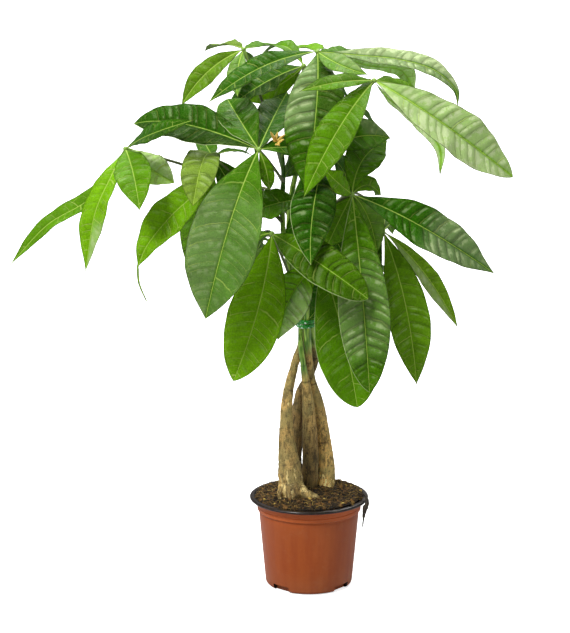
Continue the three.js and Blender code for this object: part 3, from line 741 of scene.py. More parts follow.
# Stems: x, y, z and radius, from the root end to the tip of the shoot
STEMS = {
    "stem_1": [
        (-18, -9, 48, 8), (-18, -10, 76, 12.5), (-18.3, -11, 98, 12.6), (-19.6, -11, 121, 10.8),
        (-22.6, -9, 152, 7.8), (-23, -7, 172, 6.4), (-22, -4, 192, 5.4), (-18.5, 0, 212, 4.8),
        (-13.5, 4.5, 230, 4.2), (-8, 7.5, 248, 3.4), (-4.7, 4.8, 262, 3), (-4.7, 4.8, 276, 2.9),
        (-12, 15, 305, 3), (-20, 30, 345, 2.8), (-18, 42, 390, 2.6), (-10, 48, 430, 2.3),
        (-6, 46, 465, 1.8), (-6, 43, 484, 0.8),
    ],
    "stem_2": [
        (-13, 29, 52, 5), (-12.5, 29, 78, 6.5), (-13.5, 28, 102, 6.6), (-13.9, 27, 132, 6.6),
        (-12.4, 25, 153, 6.6), (-11.4, 23, 175, 5.9), (-7.8, 22, 194, 4.9), (-1, 19, 209, 4.5),
        (5.5, 13, 228, 4), (4.5, 6, 246, 3.2), (3.2, 1, 262, 2.4), (3.2, 1, 276, 2.4),
        (8, 8, 305, 2.7), (14, 17, 345, 2.7), (18, 22, 395, 2.5), (16, 20, 430, 2.2),
        (13, 17, 452, 1.7), (12, 15, 466, 0.7),
    ],
    "stem_3": [
        (1, 12, 50, 6), (0.5, 13, 74, 7.6), (-0.5, 13.5, 97, 8.7), (1.5, 11.5, 125, 7.6),
        (1, 8, 146, 7.5), (-0.5, 2, 179, 6.2), (-2.6, -3, 203, 4.8), (-6, -6.5, 228, 3.2),
        (-8.6, -5.5, 248, 2.7), (-9, -2.2, 262, 2.5), (-9, -2.2, 276, 2.5), (-14, -3, 305, 2.6),
        (-24, -1, 345, 2.5), (-27, 2, 385, 2.4), (-26, 5, 423, 2.2), (-29, 0, 446, 2.6),
        (-33, -8, 464, 0.7),
    ],
    "stem_4": [
        (20, 17, 50, 5.5), (19.5, 18, 74, 7.6), (17.8, 20, 96, 8.6), (17.3, 21, 118, 8.2),
        (15.3, 19, 144, 6.9), (11.6, 15, 172, 6), (6.4, 10, 194, 5.4), (1.6, 5.5, 213, 4.6),
        (-0.8, 1.5, 232, 4.4), (-1.8, -2, 249, 4.3), (-2, -4.4, 262, 3.9), (-2, -4.4, 276, 3.6),
        (1, -10, 303, 3), (8, -19, 335, 2.8), (15, -25, 370, 2.5), (18, -26, 400, 2.1),
        (17, -22, 424, 0.8),
    ],
}
# Heights at which each trunk's bark gives way to green
GREEN_FROM = {"stem_1": 262, "stem_2": 247, "stem_3": 217, "stem_4": 243}
# Heights of the dark rings round each trunk that the photograph shows, and of its scars
RINGS = {
    "stem_1": (236, 201, 163, 128), "stem_2": (232, 196, 150), "stem_3": (211, 188, 160, 228),
    "stem_4": (240, 206, 170, 142),
}
# Roots that the front left trunk stands on: how bright its painted light and shade make each, then x, y, z
# and radius along it
ROOT_FEET = (
    (1.15, ((-14, -13, 106, 7.5), (-6, -18.5, 99.5, 6.2), (1, -21.5, 97, 4.8), (8, -23, 94.5, 3.2),
            (10, -23, 87, 1.6))),
    (0.75, ((-19, -12, 118, 4), (-17.5, -17.5, 108, 7), (-16, -20, 100, 8), (-15.5, -20.5, 94, 7),
            (-15.5, -20, 86, 5))),
    (1.3, ((-24.5, -13, 114, 4), (-27, -16.5, 104, 4.4), (-28.5, -18.5, 98, 3.5), (-28.5, -19.5, 89, 2))),
)
FOOT_ROWS = 26
FOOT_SIDES = 16
KNOBBY_TRUNK = "stem_1"
KNOBBINESS = 2.2
FOOT_HEIGHTS = (92, 150)  # between which the knobby foot of a trunk ends
SHADE_HEIGHTS = (120, 195)  # between which a trunk goes from its lower to its upper brightness
# Painted light and shade: how bright the bark of each trunk is made, at its foot and at its top. The two
# behind are darker, for the shade they stand in.
TRUNK_PAINTED_LIGHT_SHADE = {"stem_1": (1.25, 1.6), "stem_2": (0.4, 0.75), "stem_3": (0.6, 1.6), "stem_4": (2.2, 1.45)}
# Layers of noise: height, size, how far drawn out upwards, and shift
BARK_RELIEF = ((0.35, 7, 1.6, 0), (0.28, 2.6, 2.2, 0), (0.2, 1.5, 1.4, 5), (0.3, 2.1, 6, 12))
# Painted shade in the bark's hollows and painted light on its knobs, as layers of noise like those above
BARK_HOLLOWS = ((1, 2.8, 2.5, 4), (0.8, 1.3, 2, 21))
RING_HEIGHT = 0.22
SHOOT_RINGS = (16, 30)  # least and most between the rings of a shoot
GREENING = 8  # half the height over which bark gives way to green
TRUNK_STEP = 1.3
SHOOT_STEP = 3
STEM_SIDES = 30
STEM_SAMPLES = 900
AXIS_SAMPLES = 2000


def add_root_feet(body):
    """Small roots that flow out of a trunk into the soil."""
    for bright, path in ROOT_FEET:
        foot = curve_at(path, np.linspace(0, 1, FOOT_ROWS))
        carried = {"bark": np.tile((0, 0, 0.9), (FOOT_ROWS, 1)), "dim": np.full(FOOT_ROWS, bright)}
        places, outward = add_tube(body, foot[:, :3], foot[:, 3:], FOOT_SIDES, **carried)
        places += 1.2 * outward * rough_at(places, 3.5, 1, 2)[:, None]


def make_stem(name, index, bark):
    """One trunk with its shoot: rings, ridges and hollows in the bark, and smooth green above."""
    draw = random.Random(60 + index)
    shares = np.linspace(0, 1, STEM_SAMPLES)
    line = curve_at(STEMS[name], shares)
    run = run_along(line[:, :3])
    stop = np.interp(TIE_BOTTOM + 12, line[:, 2], run)
    marks = np.concatenate([np.arange(0, stop, TRUNK_STEP), np.arange(stop, run[-1], SHOOT_STEP), [run[-1]]])
    along = np.interp(marks, run, shares)
    line = curve_at(STEMS[name], along)
    height = line[:, 2]
    along = along[:, None]
    lumps = 1 + 0.05 * np.sin(2 * turns_of(STEM_SIDES) + 9 * along) + 0.03 * np.sin(40 * along)
    rings = list(RINGS[name])
    at = TIE_BOTTOM + 20
    while at < STEMS[name][-1][2] - 12:
        rings.append(at)
        at += draw.uniform(*SHOOT_RINGS)
    swell = sum(RING_HEIGHT * (bell(height, 1.3, at) - bell(height, 1.1, at + 2.4)) for at in rings)
    scar = np.repeat(np.clip(sum(bell(height, 0.8, at + 1) for at in rings), 0, 1), STEM_SIDES)
    body = Body()
    places, outward = add_tube(body, line[:, :3], line[:, 3:] * lumps + swell[:, None], STEM_SIDES)
    tall = np.repeat(height, STEM_SIDES)
    ragged = tall + 7 * rough_at(places, 3.5, 2.5, index)
    green = ease(ragged, GREEN_FROM[name] - GREENING, GREEN_FROM[name] + GREENING)
    low = 1 - ease(tall, *FOOT_HEIGHTS)
    knobby = low * (KNOBBINESS if name == KNOBBY_TRUNK else 1)
    relief = layered(places, BARK_RELIEF, index) + 0.9 * knobby * rough_at(places, 6, 1.3, index + 9)
    relief += 0.6 * knobby * np.abs(rough_at(places, 2.8, 2.5, index + 4))
    relief *= 0.08 + 0.92 * (1 - green)
    relief[:STEM_SIDES] = 0
    relief[-STEM_SIDES:] = 0
    places += outward * relief[:, None]
    scar *= 0.12 + 0.88 * (rough_at(places, 5, 1, 30) > 0.12)
    body.carried["bark"] = [(0, np.stack([green, scar, low], axis=1))]
    # Painted light and shade: each trunk made brighter or darker for the light it stands in, and its bark
    # darker in the hollows
    low_shade, high_shade = TRUNK_PAINTED_LIGHT_SHADE[name]
    painted_hollow_shade = 1 + (0.12 + 0.22 * low) * np.clip(layered(places, BARK_HOLLOWS, index), -1.2, 1.2)
    dim = low_shade + (high_shade - low_shade) * ease(tall, *SHADE_HEIGHTS)
    body.carried["dim"] = [(0, dim * painted_hollow_shade)]
    if name == KNOBBY_TRUNK:
        add_root_feet(body)
    return body.make(name + "_bark", [bark])


# What a leaflet has where its line says nothing else
PLAIN_LEAFLET = dict(face=None, tail=None, lit=0.2, olive=0, sheen=(0, 0), span=(0, 1), quilt=1, rim=0)


def leaflet(via, tip, wide, blunt=0.0, **more):
    """via has the points of the midrib. lit and olive turn its green.

    lit is painted light: it turns the green towards the yellow green of light that shines through, and above
    1 it brightens the whole colour. sheen is the painted sheen on each half, or the painted shade where it is
    below
    0, between the two shares of the length in span. The first half is the one on the left of a leaflet that
    hangs. quilt is the relief, and rim tells which half has a painted highlight along its margin: 1 the
    first,
    -1 the second, 0 none.
    """
    return dict(PLAIN_LEAFLET, via=via, tip=tip, wide=wide, blunt=blunt, **more)


# Each leaf: its hub, where its stalk starts and bends, the way its upper side faces, and its leaflets
LEAVES = {
    "leaf_01": dict(hub=(-49, -85, 457), root=("stem_3", 412), bend=(-40, -45, 440), face=FORWARD, leaflets=[
        leaflet([(-119, -50, 476)], (-171, -18, 472), 43, 0.3, lit=0, sheen=(-0.25, -0.8), quilt=2, rim=-1),
        leaflet([(-75, -118, 395)], (-99, -122, 302), 68, 0.3, lit=0.25, sheen=(0.32, 0.16),
                span=(0.3, 1.0), quilt=0.6),
        leaflet([(-20, -62, 456)], (9, -42, 450), 24, lit=0.1),
        leaflet([(-37, -50, 479)], (-22, 0, 501), 34, lit=0, sheen=(-0.2, -0.6)),
        leaflet([(-65, -60, 478)], (-80, -15, 496), 40, 0.4, lit=0.1, sheen=(-0.3, -0.1), quilt=1.5, rim=-1),
        leaflet([(-42, -88, 438)], (-39, -80, 417), 14, lit=0.5),
    ]),
    "leaf_02": dict(hub=(7, -10, 541), root=("stem_2", 445), bend=(12, 5, 500), face=UPWARD, leaflets=[
        leaflet([(-46, -42, 530)], (-97, -60, 498), 28, face=SLANTED, lit=0, sheen=(-0.05, -0.35), quilt=1.2),
        leaflet([(5, -62, 489)], (-5, -78, 419), 58, 0.3, face=FORWARD, lit=0.25,
                sheen=(0.43, -0.75), span=(0.1, 0.62), quilt=2.2),
        leaflet([(45, -14, 538), (86, -26, 535), (120, -34, 525), (139, -38, 507)], (141, -40, 489), 26, -0.6,
                face=SLANTED, lit=0.05, sheen=(0.5, 0.96), span=(0.1, 0.9), quilt=2.2),
        leaflet([(60, 38, 522), (92, 52, 515)], (105, 58, 493), 36, 0.3, face=BACKWARD, lit=2.3,
                sheen=(0.7, 0.5)),
        leaflet([(29, -47, 532)], (54, -62, 525), 22, face=FORWARD, lit=0.35, sheen=(0.1, 0.4)),
        leaflet([(2, 45, 538), (-10, 75, 537)], (-25, 98, 533), 24, lit=0.9),
        leaflet([(36, 45, 534)], (63, 90, 528), 26, lit=0.3),
    ]),
    "leaf_03": dict(hub=(60, -60, 519), root=("stem_2", 425), bend=(33, -28, 478), face=FORWARD, leaflets=[
        leaflet([(25, -90, 521)], (-11, -103, 514), 17, lit=0.5, sheen=(0.12, 0)),
        leaflet([(25, -108, 479)], (-7, -124, 418), 36, 0.1, lit=0.6, sheen=(0, -0.3)),
        leaflet([(118, -78, 485)], (193, -62, 427), 48, 0.6, lit=1.12, sheen=(1.0, 0.82), quilt=1.5),
        leaflet([(73, -25, 499), (106, 5, 472), (128, 14, 443)], (129, 18, 414), 18, lit=2.1,
                sheen=(1.0, 1.0)),
        leaflet([(87, 0, 508)], (113, 40, 494), 18, lit=0.95),
        leaflet([(49, -15, 507)], (39, 25, 492), 20, lit=0.7),
    ]),
    "leaf_04": dict(hub=(-65, 30, 539), root=("stem_3", 425), bend=(-46, 20, 487), face=UPWARD, leaflets=[
        leaflet([(-99, 10, 520)], (-125, -5, 488), 23, face=FORWARD, lit=0.55, olive=0.25),
        leaflet([(-84, 75, 539)], (-107, 115, 528), 24, olive=0.5),
        leaflet([(-49, 74, 538)], (-26, 120, 534), 20, lit=0.4),
        leaflet([(-71, 5, 518)], (-70, -15, 498), 20, lit=0.4, sheen=(0.2, 0.2)),
        leaflet([(-56, 45, 525)], (-44, 60, 503), 20, lit=0.2),
    ]),
    "leaf_05": dict(hub=(40, -60, 410), root=("stem_4", 385), bend=(27, -45, 400), face=FORWARD, leaflets=[
        leaflet([(104, -78, 383)], (179, -55, 331), 44, -0.3, lit=0, sheen=(0.42, 0.42),
                span=(0.5, 1.0), quilt=1.8),
        leaflet([(49, -96, 322)], (57, -92, 223), 49, 0.7, lit=0.36,
                sheen=(0.28, 0.18), span=(0.35, 0.8), quilt=2.2, rim=1),
        leaflet([(30, -52, 388)], (16, -36, 354), 32, lit=0.7),
        leaflet([(51, -30, 439)], (76, 5, 452), 36, lit=0.5, quilt=1.8),
        leaflet([(55, -42, 416)], (69, -25, 403), 20, lit=0.8),
        leaflet([(56, -48, 385)], (65, -44, 349), 26, lit=0.8, sheen=(0.1, 0.2)),
        leaflet([(25, -78, 425)], (13, -82, 438), 24, lit=0.7),
    ]),
    "leaf_06": dict(hub=(72, -10, 365), root=("stem_2", 340), bend=(42, 4, 352), face=FORWARD, leaflets=[
        leaflet([(93, -36, 299)], (105, -42, 218), 42, 0.2, lit=0.6, olive=0.15, quilt=1.2),
        leaflet([(114, 5, 320)], (149, 12, 262), 20, lit=1, olive=0.3, sheen=(0.6, 0)),
        leaflet([(56, -30, 314)], (49, -36, 261), 26, lit=0.1),
        leaflet([(99, 40, 371)], (128, 80, 349), 28, lit=0.2),
        leaflet([(74, 40, 369)], (65, 95, 340), 26, lit=0.1),
    ]),
    "leaf_07": dict(hub=(-37, -50, 370), root=("stem_3", 302), bend=(-27, -25, 342), face=(0, -0.9, 0.45),
                    leaflets=[
        leaflet([(-49, -78, 306)], (-74, -84, 232), 54, 0.6, lit=1, quilt=0.6),
        leaflet([(9, -104, 351)], (54, -112, 319), 40, 0.8, lit=0.75, sheen=(-0.75, -0.6),
                span=(0.35, 1.0), quilt=2, rim=1),
        leaflet([(-57, -25, 357)], (-72, 5, 323), 20, lit=0.4),
        leaflet([(-44, -15, 360)], (-52, 10, 342), 12, lit=0.2),
    ]),
    "leaf_08": dict(hub=(-179, -20, 448), root=("stem_3", 392), bend=(-122, -8, 430), face=(-0.2, -0.6, 0.75),
                    leaflets=[
        leaflet([(-203, -24, 412), (-218, -26, 397), (-255, -28, 375)], (-293, -30, 335), 22, lit=0.5,
                quilt=0.4),
        leaflet([(-193, -46, 422), (-206, -58, 393)], (-216, -66, 336), 28, lit=1, sheen=(0, 0.6),
                span=(0.65, 1.0), quilt=0.4),
        leaflet([(-168, -70, 430)], (-161, -100, 402), 36, 0.2, lit=0.58),
        leaflet([(-154, -28, 429)], (-131, -40, 418), 32, 0.3, lit=1.7, olive=0.3, sheen=(0.3, 0.75)),
        leaflet([(-162, -50, 462), (-139, -78, 475)], (-110, -92, 486), 22, face=FORWARD, lit=0.1,
                sheen=(-0.5, 0)),
    ]),
    "leaf_09": dict(hub=(-94, -30, 442), root=("stem_3", 372), bend=(-68, -15, 416), face=(-0.1, -0.7, 0.7),
                    leaflets=[
        leaflet([(-102, -68, 444)], (-111, -95, 405), 36, 0.4, lit=1.1, olive=0.65, sheen=(0.1, 0.1),
                quilt=1.5),
        leaflet([(-108, -48, 413), (-135, -56, 387), (-157, -60, 360)], (-166, -62, 340), 40, 0.2,
                tail=[(-165, -62, 324), (-158, -62, 306)], lit=1, quilt=0.7),
        leaflet([(-102, -35, 373)], (-86, -45, 300), 48, 0.2, lit=1.6, sheen=(0.1, 0.05)),
        leaflet([(-80, -22, 418)], (-62, -18, 391), 28, lit=0.15),
        leaflet([(-74, 15, 441)], (-54, 55, 428), 10, lit=0.2),
        leaflet([(-102, 25, 444)], (-113, 60, 457), 20, lit=0.25),
    ]),
    "leaf_10": dict(hub=(-10, -14, 397), root=("stem_1", 358), bend=(-12, 20, 382), face=(0, -0.7, 0.7),
                    leaflets=[
        leaflet([(-34, -20, 394)], (-62, -28, 385), 36, 0.3, lit=0.35),
        leaflet([(15, -6, 370)], (38, -8, 334), 34, lit=0.1),
        leaflet([(2, 30, 402)], (6, 75, 388), 28, lit=0.2),
        leaflet([(-10, -24, 362)], (-12, -22, 337), 28, lit=0.1),
    ]),
    "leaf_11": dict(hub=(15, -32, 447), root=("stem_2", 405), bend=(18, -6, 430), face=FORWARD, leaflets=[
        leaflet([(2, -86, 397)], (0, -113, 352), 43, 0.2, lit=0, sheen=(-0.05, -0.45), quilt=2.4, rim=1),
        leaflet([(46, -28, 461)], (78, -18, 458), 34, lit=0.2, sheen=(0.05, 0.5), span=(0.62, 1.0),
                quilt=1.6),
        leaflet([(4, -16, 473)], (2, -2, 496), 28, lit=0.1),
        leaflet([(-10, -8, 434)], (-26, 16, 414), 26, lit=0.3),
        leaflet([(33, -6, 424)], (40, 14, 398), 26, lit=0.1),
    ]),
    "leaf_12": dict(hub=(-6, 20, 524), root=("stem_1", 468), bend=(-8, 36, 502), face=UPWARD, leaflets=[
        leaflet([(-42, 8, 510)], (-79, -2, 486), 44, lit=0, sheen=(-0.3, -1)),
        leaflet([(-28, 38, 542)], (-51, 52, 525), 22, lit=0.5),
        leaflet([(-34, 37, 501)], (-71, 45, 489), 30, face=FORWARD, lit=1.0),
        leaflet([(19, 30, 509)], (42, 42, 484), 30, lit=0.1),
    ]),
    "leaf_13": dict(hub=(11, -48, 342), root=("stem_4", 308), bend=(7, -30, 330), face=(0, -0.8, 0.55),
                    leaflets=[
        leaflet([(-18, -58, 311)], (-31, -62, 268), 42, 0.2, lit=1.7, sheen=(0.05, 0.62),
                span=(0.35, 1.0), quilt=2.4),
        leaflet([(31, -68, 277)], (46, -74, 203), 60, 0.8, lit=0.55, quilt=0.6, rim=1),
        leaflet([(16, -38, 312)], (-1, -30, 281), 30, lit=0.05),
        leaflet([(40, -16, 318)], (58, 12, 284), 28, lit=0.2),
        leaflet([(38, -54, 322)], (64, -60, 292), 26, lit=0.2),
    ]),
}

# The leaves at the back, which spread their leaflets round the hub by a rule
BACK_LEAVES = {
    "leaf_14": dict(hub=(-62, 118, 385), root=("stem_1", 372), count=5, long=92, first=50, last=165),
    "leaf_15": dict(hub=(62, 110, 376), root=("stem_2", 380), count=5, long=90, first=70, last=155),
    "leaf_16": dict(hub=(0, 115, 490), root=("stem_1", 445), count=6, long=100, first=10, last=170),
    "leaf_17": dict(hub=(50, 80, 315), root=("stem_2", 325), count=5, long=88, first=10, last=140),
    "leaf_18": dict(hub=(-55, 80, 340), root=("stem_1", 330), count=5, long=85, first=40, last=165),
}


def seeded_draw(seed):
    """The same draw as the solids have, so that a back leaf's leaflets lie where its solid does."""
    state = seed

    def draw(low, high):
        nonlocal state
        state = (state * 1664525 + 1013904223) % 4294967296
        return low + (high - low) * (state / 4294967296)

    return draw


def stem_at(name, height):
    """The point of a stem's axis at a height."""
    line = curve_at(STEMS[name], np.linspace(0, 1, AXIS_SAMPLES))[:, :3]
    return line[np.searchsorted(line[:, 2], height)]


def spread_leaf(leaf, seed):
    """Gives a leaf at the back its leaflets, spread round its hub, and the bend of its stalk."""
    draw = seeded_draw(seed)
    hub = np.array(leaf["hub"])
    leaflets = []
    for index in range(leaf["count"]):
        share = index / (leaf["count"] - 1)
        turn = math.radians(leaf["first"] + (leaf["last"] - leaf["first"]) * share)
        droop = math.radians(draw(25, 50))
        length = leaf["long"] * draw(0.85, 1.1)
        flat = length * math.cos(droop)
        reach = np.array([flat * math.cos(turn), flat * math.sin(turn), -length * math.sin(droop)])
        middle = hub + 0.52 * reach + (0, 0, 0.12 * length)
        # Painted light, varied from leaflet to leaflet
        lit = 0.1 + 0.35 * (index % 3 == 1) + 0.2 * (index % 2)
        leaflets.append(leaflet([middle], hub + reach, 0.31 * length, 0.2, lit=lit))
    root = stem_at(*leaf["root"])
    bend = root + (hub - root) * 0.55 + (0, 0, 12)
    return dict(leaf, leaflets=leaflets, bend=bend, face=LEVEL)


def half_width(along, wide, blunt):
    """Half a leaflet's width along its length. It is widest nearer the tip where it is blunt."""
    base = 1.4 - 0.4 * blunt
    end = 1.2 - 0.6 * blunt
    widest = base / (base + end)
    shape = along ** base * (1 - along) ** end / (widest ** base * (1 - widest) ** end)
    return np.maximum(0.9 * (1 - 0.6 * along), (wide / 2) * shape)


def add_blade(body, hub, part, face, phase, draw):
    """One leaflet: a thin arched blade that swells between its side veins."""
    wide = part["wide"]
    dense_shares = np.linspace(0, 1, BLADE_SAMPLES)
    if len(part["via"]) > 1:
        dense = curve_at([hub, *part["via"], part["tip"]], dense_shares)
    else:
        dense = arch_at(hub, part["via"][0], part["tip"], dense_shares)
    length = run_along(dense)[-1]
    rows = ROWS_PER_VEIN * max(7, round(length / VEIN_SPACING)) + 1
    along = BLADE_START / length + (1 - BLADE_START / length) * np.linspace(0, 1, rows) ** 0.95
    centre, forward = by_length(dense, along)
    half = half_width(along, wide, part["blunt"])
    if part["tail"]:
        dense = curve_at([part["tip"], *part["tail"]], dense_shares)
        tail, tail_forward = by_length(dense, np.linspace(0.1, 1, TAIL_ROWS))
        centre = np.concatenate([centre, tail])
        forward = np.concatenate([forward, tail_forward])
        half = np.maximum(half, TAIL_WIDTH * ease(along, 0.85, 1))
        half = np.concatenate([half, np.linspace(TAIL_WIDTH, TAIL_WIDTH / 2, TAIL_ROWS)])
        along = np.concatenate([along, np.ones(TAIL_ROWS)])
    along, half = along[:, None], half[:, None]
    face = np.asarray(face, float)
    normal = unit(face - forward * (forward @ face)[:, None])
    twist = math.radians(draw.uniform(-TWIST, TWIST)) * along
    normal = normal * np.cos(twist) + np.cross(forward, normal) * np.sin(twist)
    across = np.cross(forward, normal)
    side = np.array([-place for place in reversed(COLUMNS[1:])] + list(COLUMNS))
    sign, out = np.sign(side), np.abs(side)
    full = np.minimum(1, 2 * half / wide)
    away = half * out
    ripple = WAVE * wide * np.sin(CIRCLE * WAVES * along + phase + sign)
    ripple += FINE_WAVE * wide * np.sin(CIRCLE * FINE_WAVES * along + draw.uniform(0, 6) + 2 * sign)
    lift = FOLD * half * (1.3 * out - 0.3 * out ** 2) + ripple * full * out ** 1.4
    lean = half * (0.3 * out + 0.22 * out ** 3)
    vein = (along * length - lean) / VEIN_SPACING + 0.3 * sign + draw.uniform(0, 1)
    first_shift, second_shift = draw.uniform(0, 6), draw.uniform(0, 6)
    vein = vein + 0.2 * np.sin(1.9 * vein + first_shift + 2 * sign)
    vein = vein + 0.12 * np.sin(3.3 * vein + second_shift - sign)
    uneven = 0.75 + 0.5 * np.sin(np.floor(vein) * 2.4 + sign + second_shift)
    bulge = QUILT * part["quilt"] * min(1.2, wide / 40) * uneven * np.abs(np.sin(math.pi * vein)) ** 0.75
    quilt = bulge * (1 - bell(away, 3.2)) * (1 - out ** 4) * full
    middle = centre[:, None, :] + across[:, None, :] * (side * half)[:, :, None]
    crinkle = rough_at(middle.reshape(-1, 3), 5.5, 1, phase).reshape(away.shape)
    quilt += CRINKLE * part["quilt"] * crinkle * (1 - bell(away, 3)) * full
    groove = -0.35 * bell(away, 1.1)
    ridge = -(0.35 + 0.8 * (1 - along)) * bell(away, 0.8)
    thin = BLADE_THICKNESS * (1 - 0.6 * out ** 3) / 2
    top = middle + normal[:, None, :] * (lift + quilt + groove + thin)[:, :, None]
    low = middle + normal[:, None, :] * (lift + 0.8 * quilt + ridge * full - thin)[:, :, None]
    # Where along the leaflet the painted sheen of each half lies, or its painted shade where the sheen is
    # below 0; a drawn out tip is darker
    first, last = part["span"]
    window = ease(along, first - SHEEN_EDGE, first + SHEEN_EDGE)
    window = window * (1 - ease(along, last - SHEEN_EDGE, last + SHEEN_EDGE))
    if part["span"] == (0, 1):
        window = np.ones(along.shape)
    pale = np.where(side > 0, *part["sheen"]) * window
    if part["tail"]:
        pale[-TAIL_ROWS:] = TAIL_SHADE
    lit = max(0, part["lit"] + draw.uniform(-0.06, 0.06))
    carried = {
        "blade": (away, vein, along),
        "tone": (lit, part["olive"], pale * (1 - bell(away, 1.5))),
        "edge": (half - away, part["rim"] * side > 0, part["quilt"] * full),
    }
    for name, values in carried.items():
        table = np.stack([value + 0 * away for value in values], axis=2)
        carried[name] = np.tile(table.reshape(-1, 3), (2, 1))
    add_sheet(body, top, low, under=np.repeat([0.0, 1.0], away.size), **carried)


def make_leaf(name, leaf, seed, materials):
    draw = random.Random(500 + seed)
    hub = np.array(leaf["hub"], float)
    body = Body()
    for index, part in enumerate(leaf["leaflets"]):
        add_blade(body, hub, part, part["face"] or leaf["face"], seed + 2 * index, draw)
    share = np.linspace(0, 1, PETIOLE_ROWS)
    line = curve_at([stem_at(*leaf["root"]), leaf["bend"], hub], share)
    radii = PETIOLE_RADIUS * (1 + 0.7 * np.maximum(0, 1 - 6 * share) + 0.45 * ease(share, 0.9, 1))
    tone = np.stack([0.15 + 0.85 * ease(share, 0.75, 1), 0 * share, 0 * share], axis=1)
    add_tube(body, line, radii, PETIOLE_SIDES, 1, tone=tone)
    add_knob(body, hub, unit(line[-1] - line[-3]))
    return body.make(name + "_frond", materials)


def add_knob(body, hub, heading):
    """The swelling where a stalk ends and its leaflets begin."""
    share = np.linspace(0.02, 0.98, KNOB_ROWS)
    centres = hub + heading * ((share - 0.5) * 2 * KNOB_RADIUS * 0.8)[:, None]
    radii = KNOB_RADIUS * 0.85 * np.sqrt(1 - (2 * share - 1) ** 2)
    add_tube(body, centres, radii, PETIOLE_SIDES, 1, tone=np.tile((1.0, 0, 0), (KNOB_ROWS, 1)))


# Soil
# Layers of noise: height, size, how far drawn out upwards, and shift
SOIL_RELIEF = ((0.9, 6, 1, 0), (0.7, 3, 1, 7), (0.4, 1.4, 1, 3))
MOUND_RINGS = 56
MOUND_SIDES = 160
PATCH_RINGS = 24
PATCH_SIDES = 72


def soil_disc(radii, sides):
    """Rings of points on the soil's surface."""
    places = np.concatenate([ring(radius, 0, sides) for radius in radii])
    x, y = places[:, 0], places[:, 1]
    out = np.hypot(x, y) / SOIL_REACH
    mound = SOIL_RISE * (1 - out * out) + SOIL_SLOPE * x
    rough = np.sin(0.31 * x + 1.3) * np.cos(0.27 * y) + 0.7 * np.sin(0.55 * y + 0.41 * x)
    places[:, 2] = SOIL_EDGE + mound + rough * np.minimum(1, 2.5 * (1.05 - out))
    return places


def make_soil(material):
    """A rough mound with a plain body that fills the pot under it."""
    radii = SOIL_REACH * np.linspace(0, 1, MOUND_RINGS)[::-1]
    top = soil_disc(radii, MOUND_SIDES)
    inside = np.repeat(ease(SOIL_REACH - radii, 0, 3), MOUND_SIDES)
    top[:, 2] += layered(top * (1, 1, 0), SOIL_RELIEF) * inside
    neck = NECK_RADIUS - WALL - SOIL_GAP
    collar = COLLAR_RADIUS - WALL - 0.3
    wall = ((FOOT_RADIUS - 4, WALL + SOIL_GAP), (FOOT_RADIUS - WALL - SOIL_GAP, 8), (neck, NECK_HEIGHT),
            (collar, COLLAR_BOTTOM + 2), (collar, LIP_BOTTOM))
    circles = [ring(radius, height, MOUND_SIDES) for radius, height in wall]
    faces = grid_faces(len(wall) + MOUND_RINGS, MOUND_SIDES, True)
    faces.append(tuple(reversed(range(MOUND_SIDES))))
    places = np.concatenate([*circles, top])
    body = Body()
    body.add(places, faces, shade=np.zeros(len(places)))
    piece = body.make("soil_mound", [material], 80)
    merge_doubles(piece)
    for turn in RECESS_TURNS:
        cut(piece, turned(recess_block("recess_soil", WALL + SOIL_GAP), turn))
    return piece


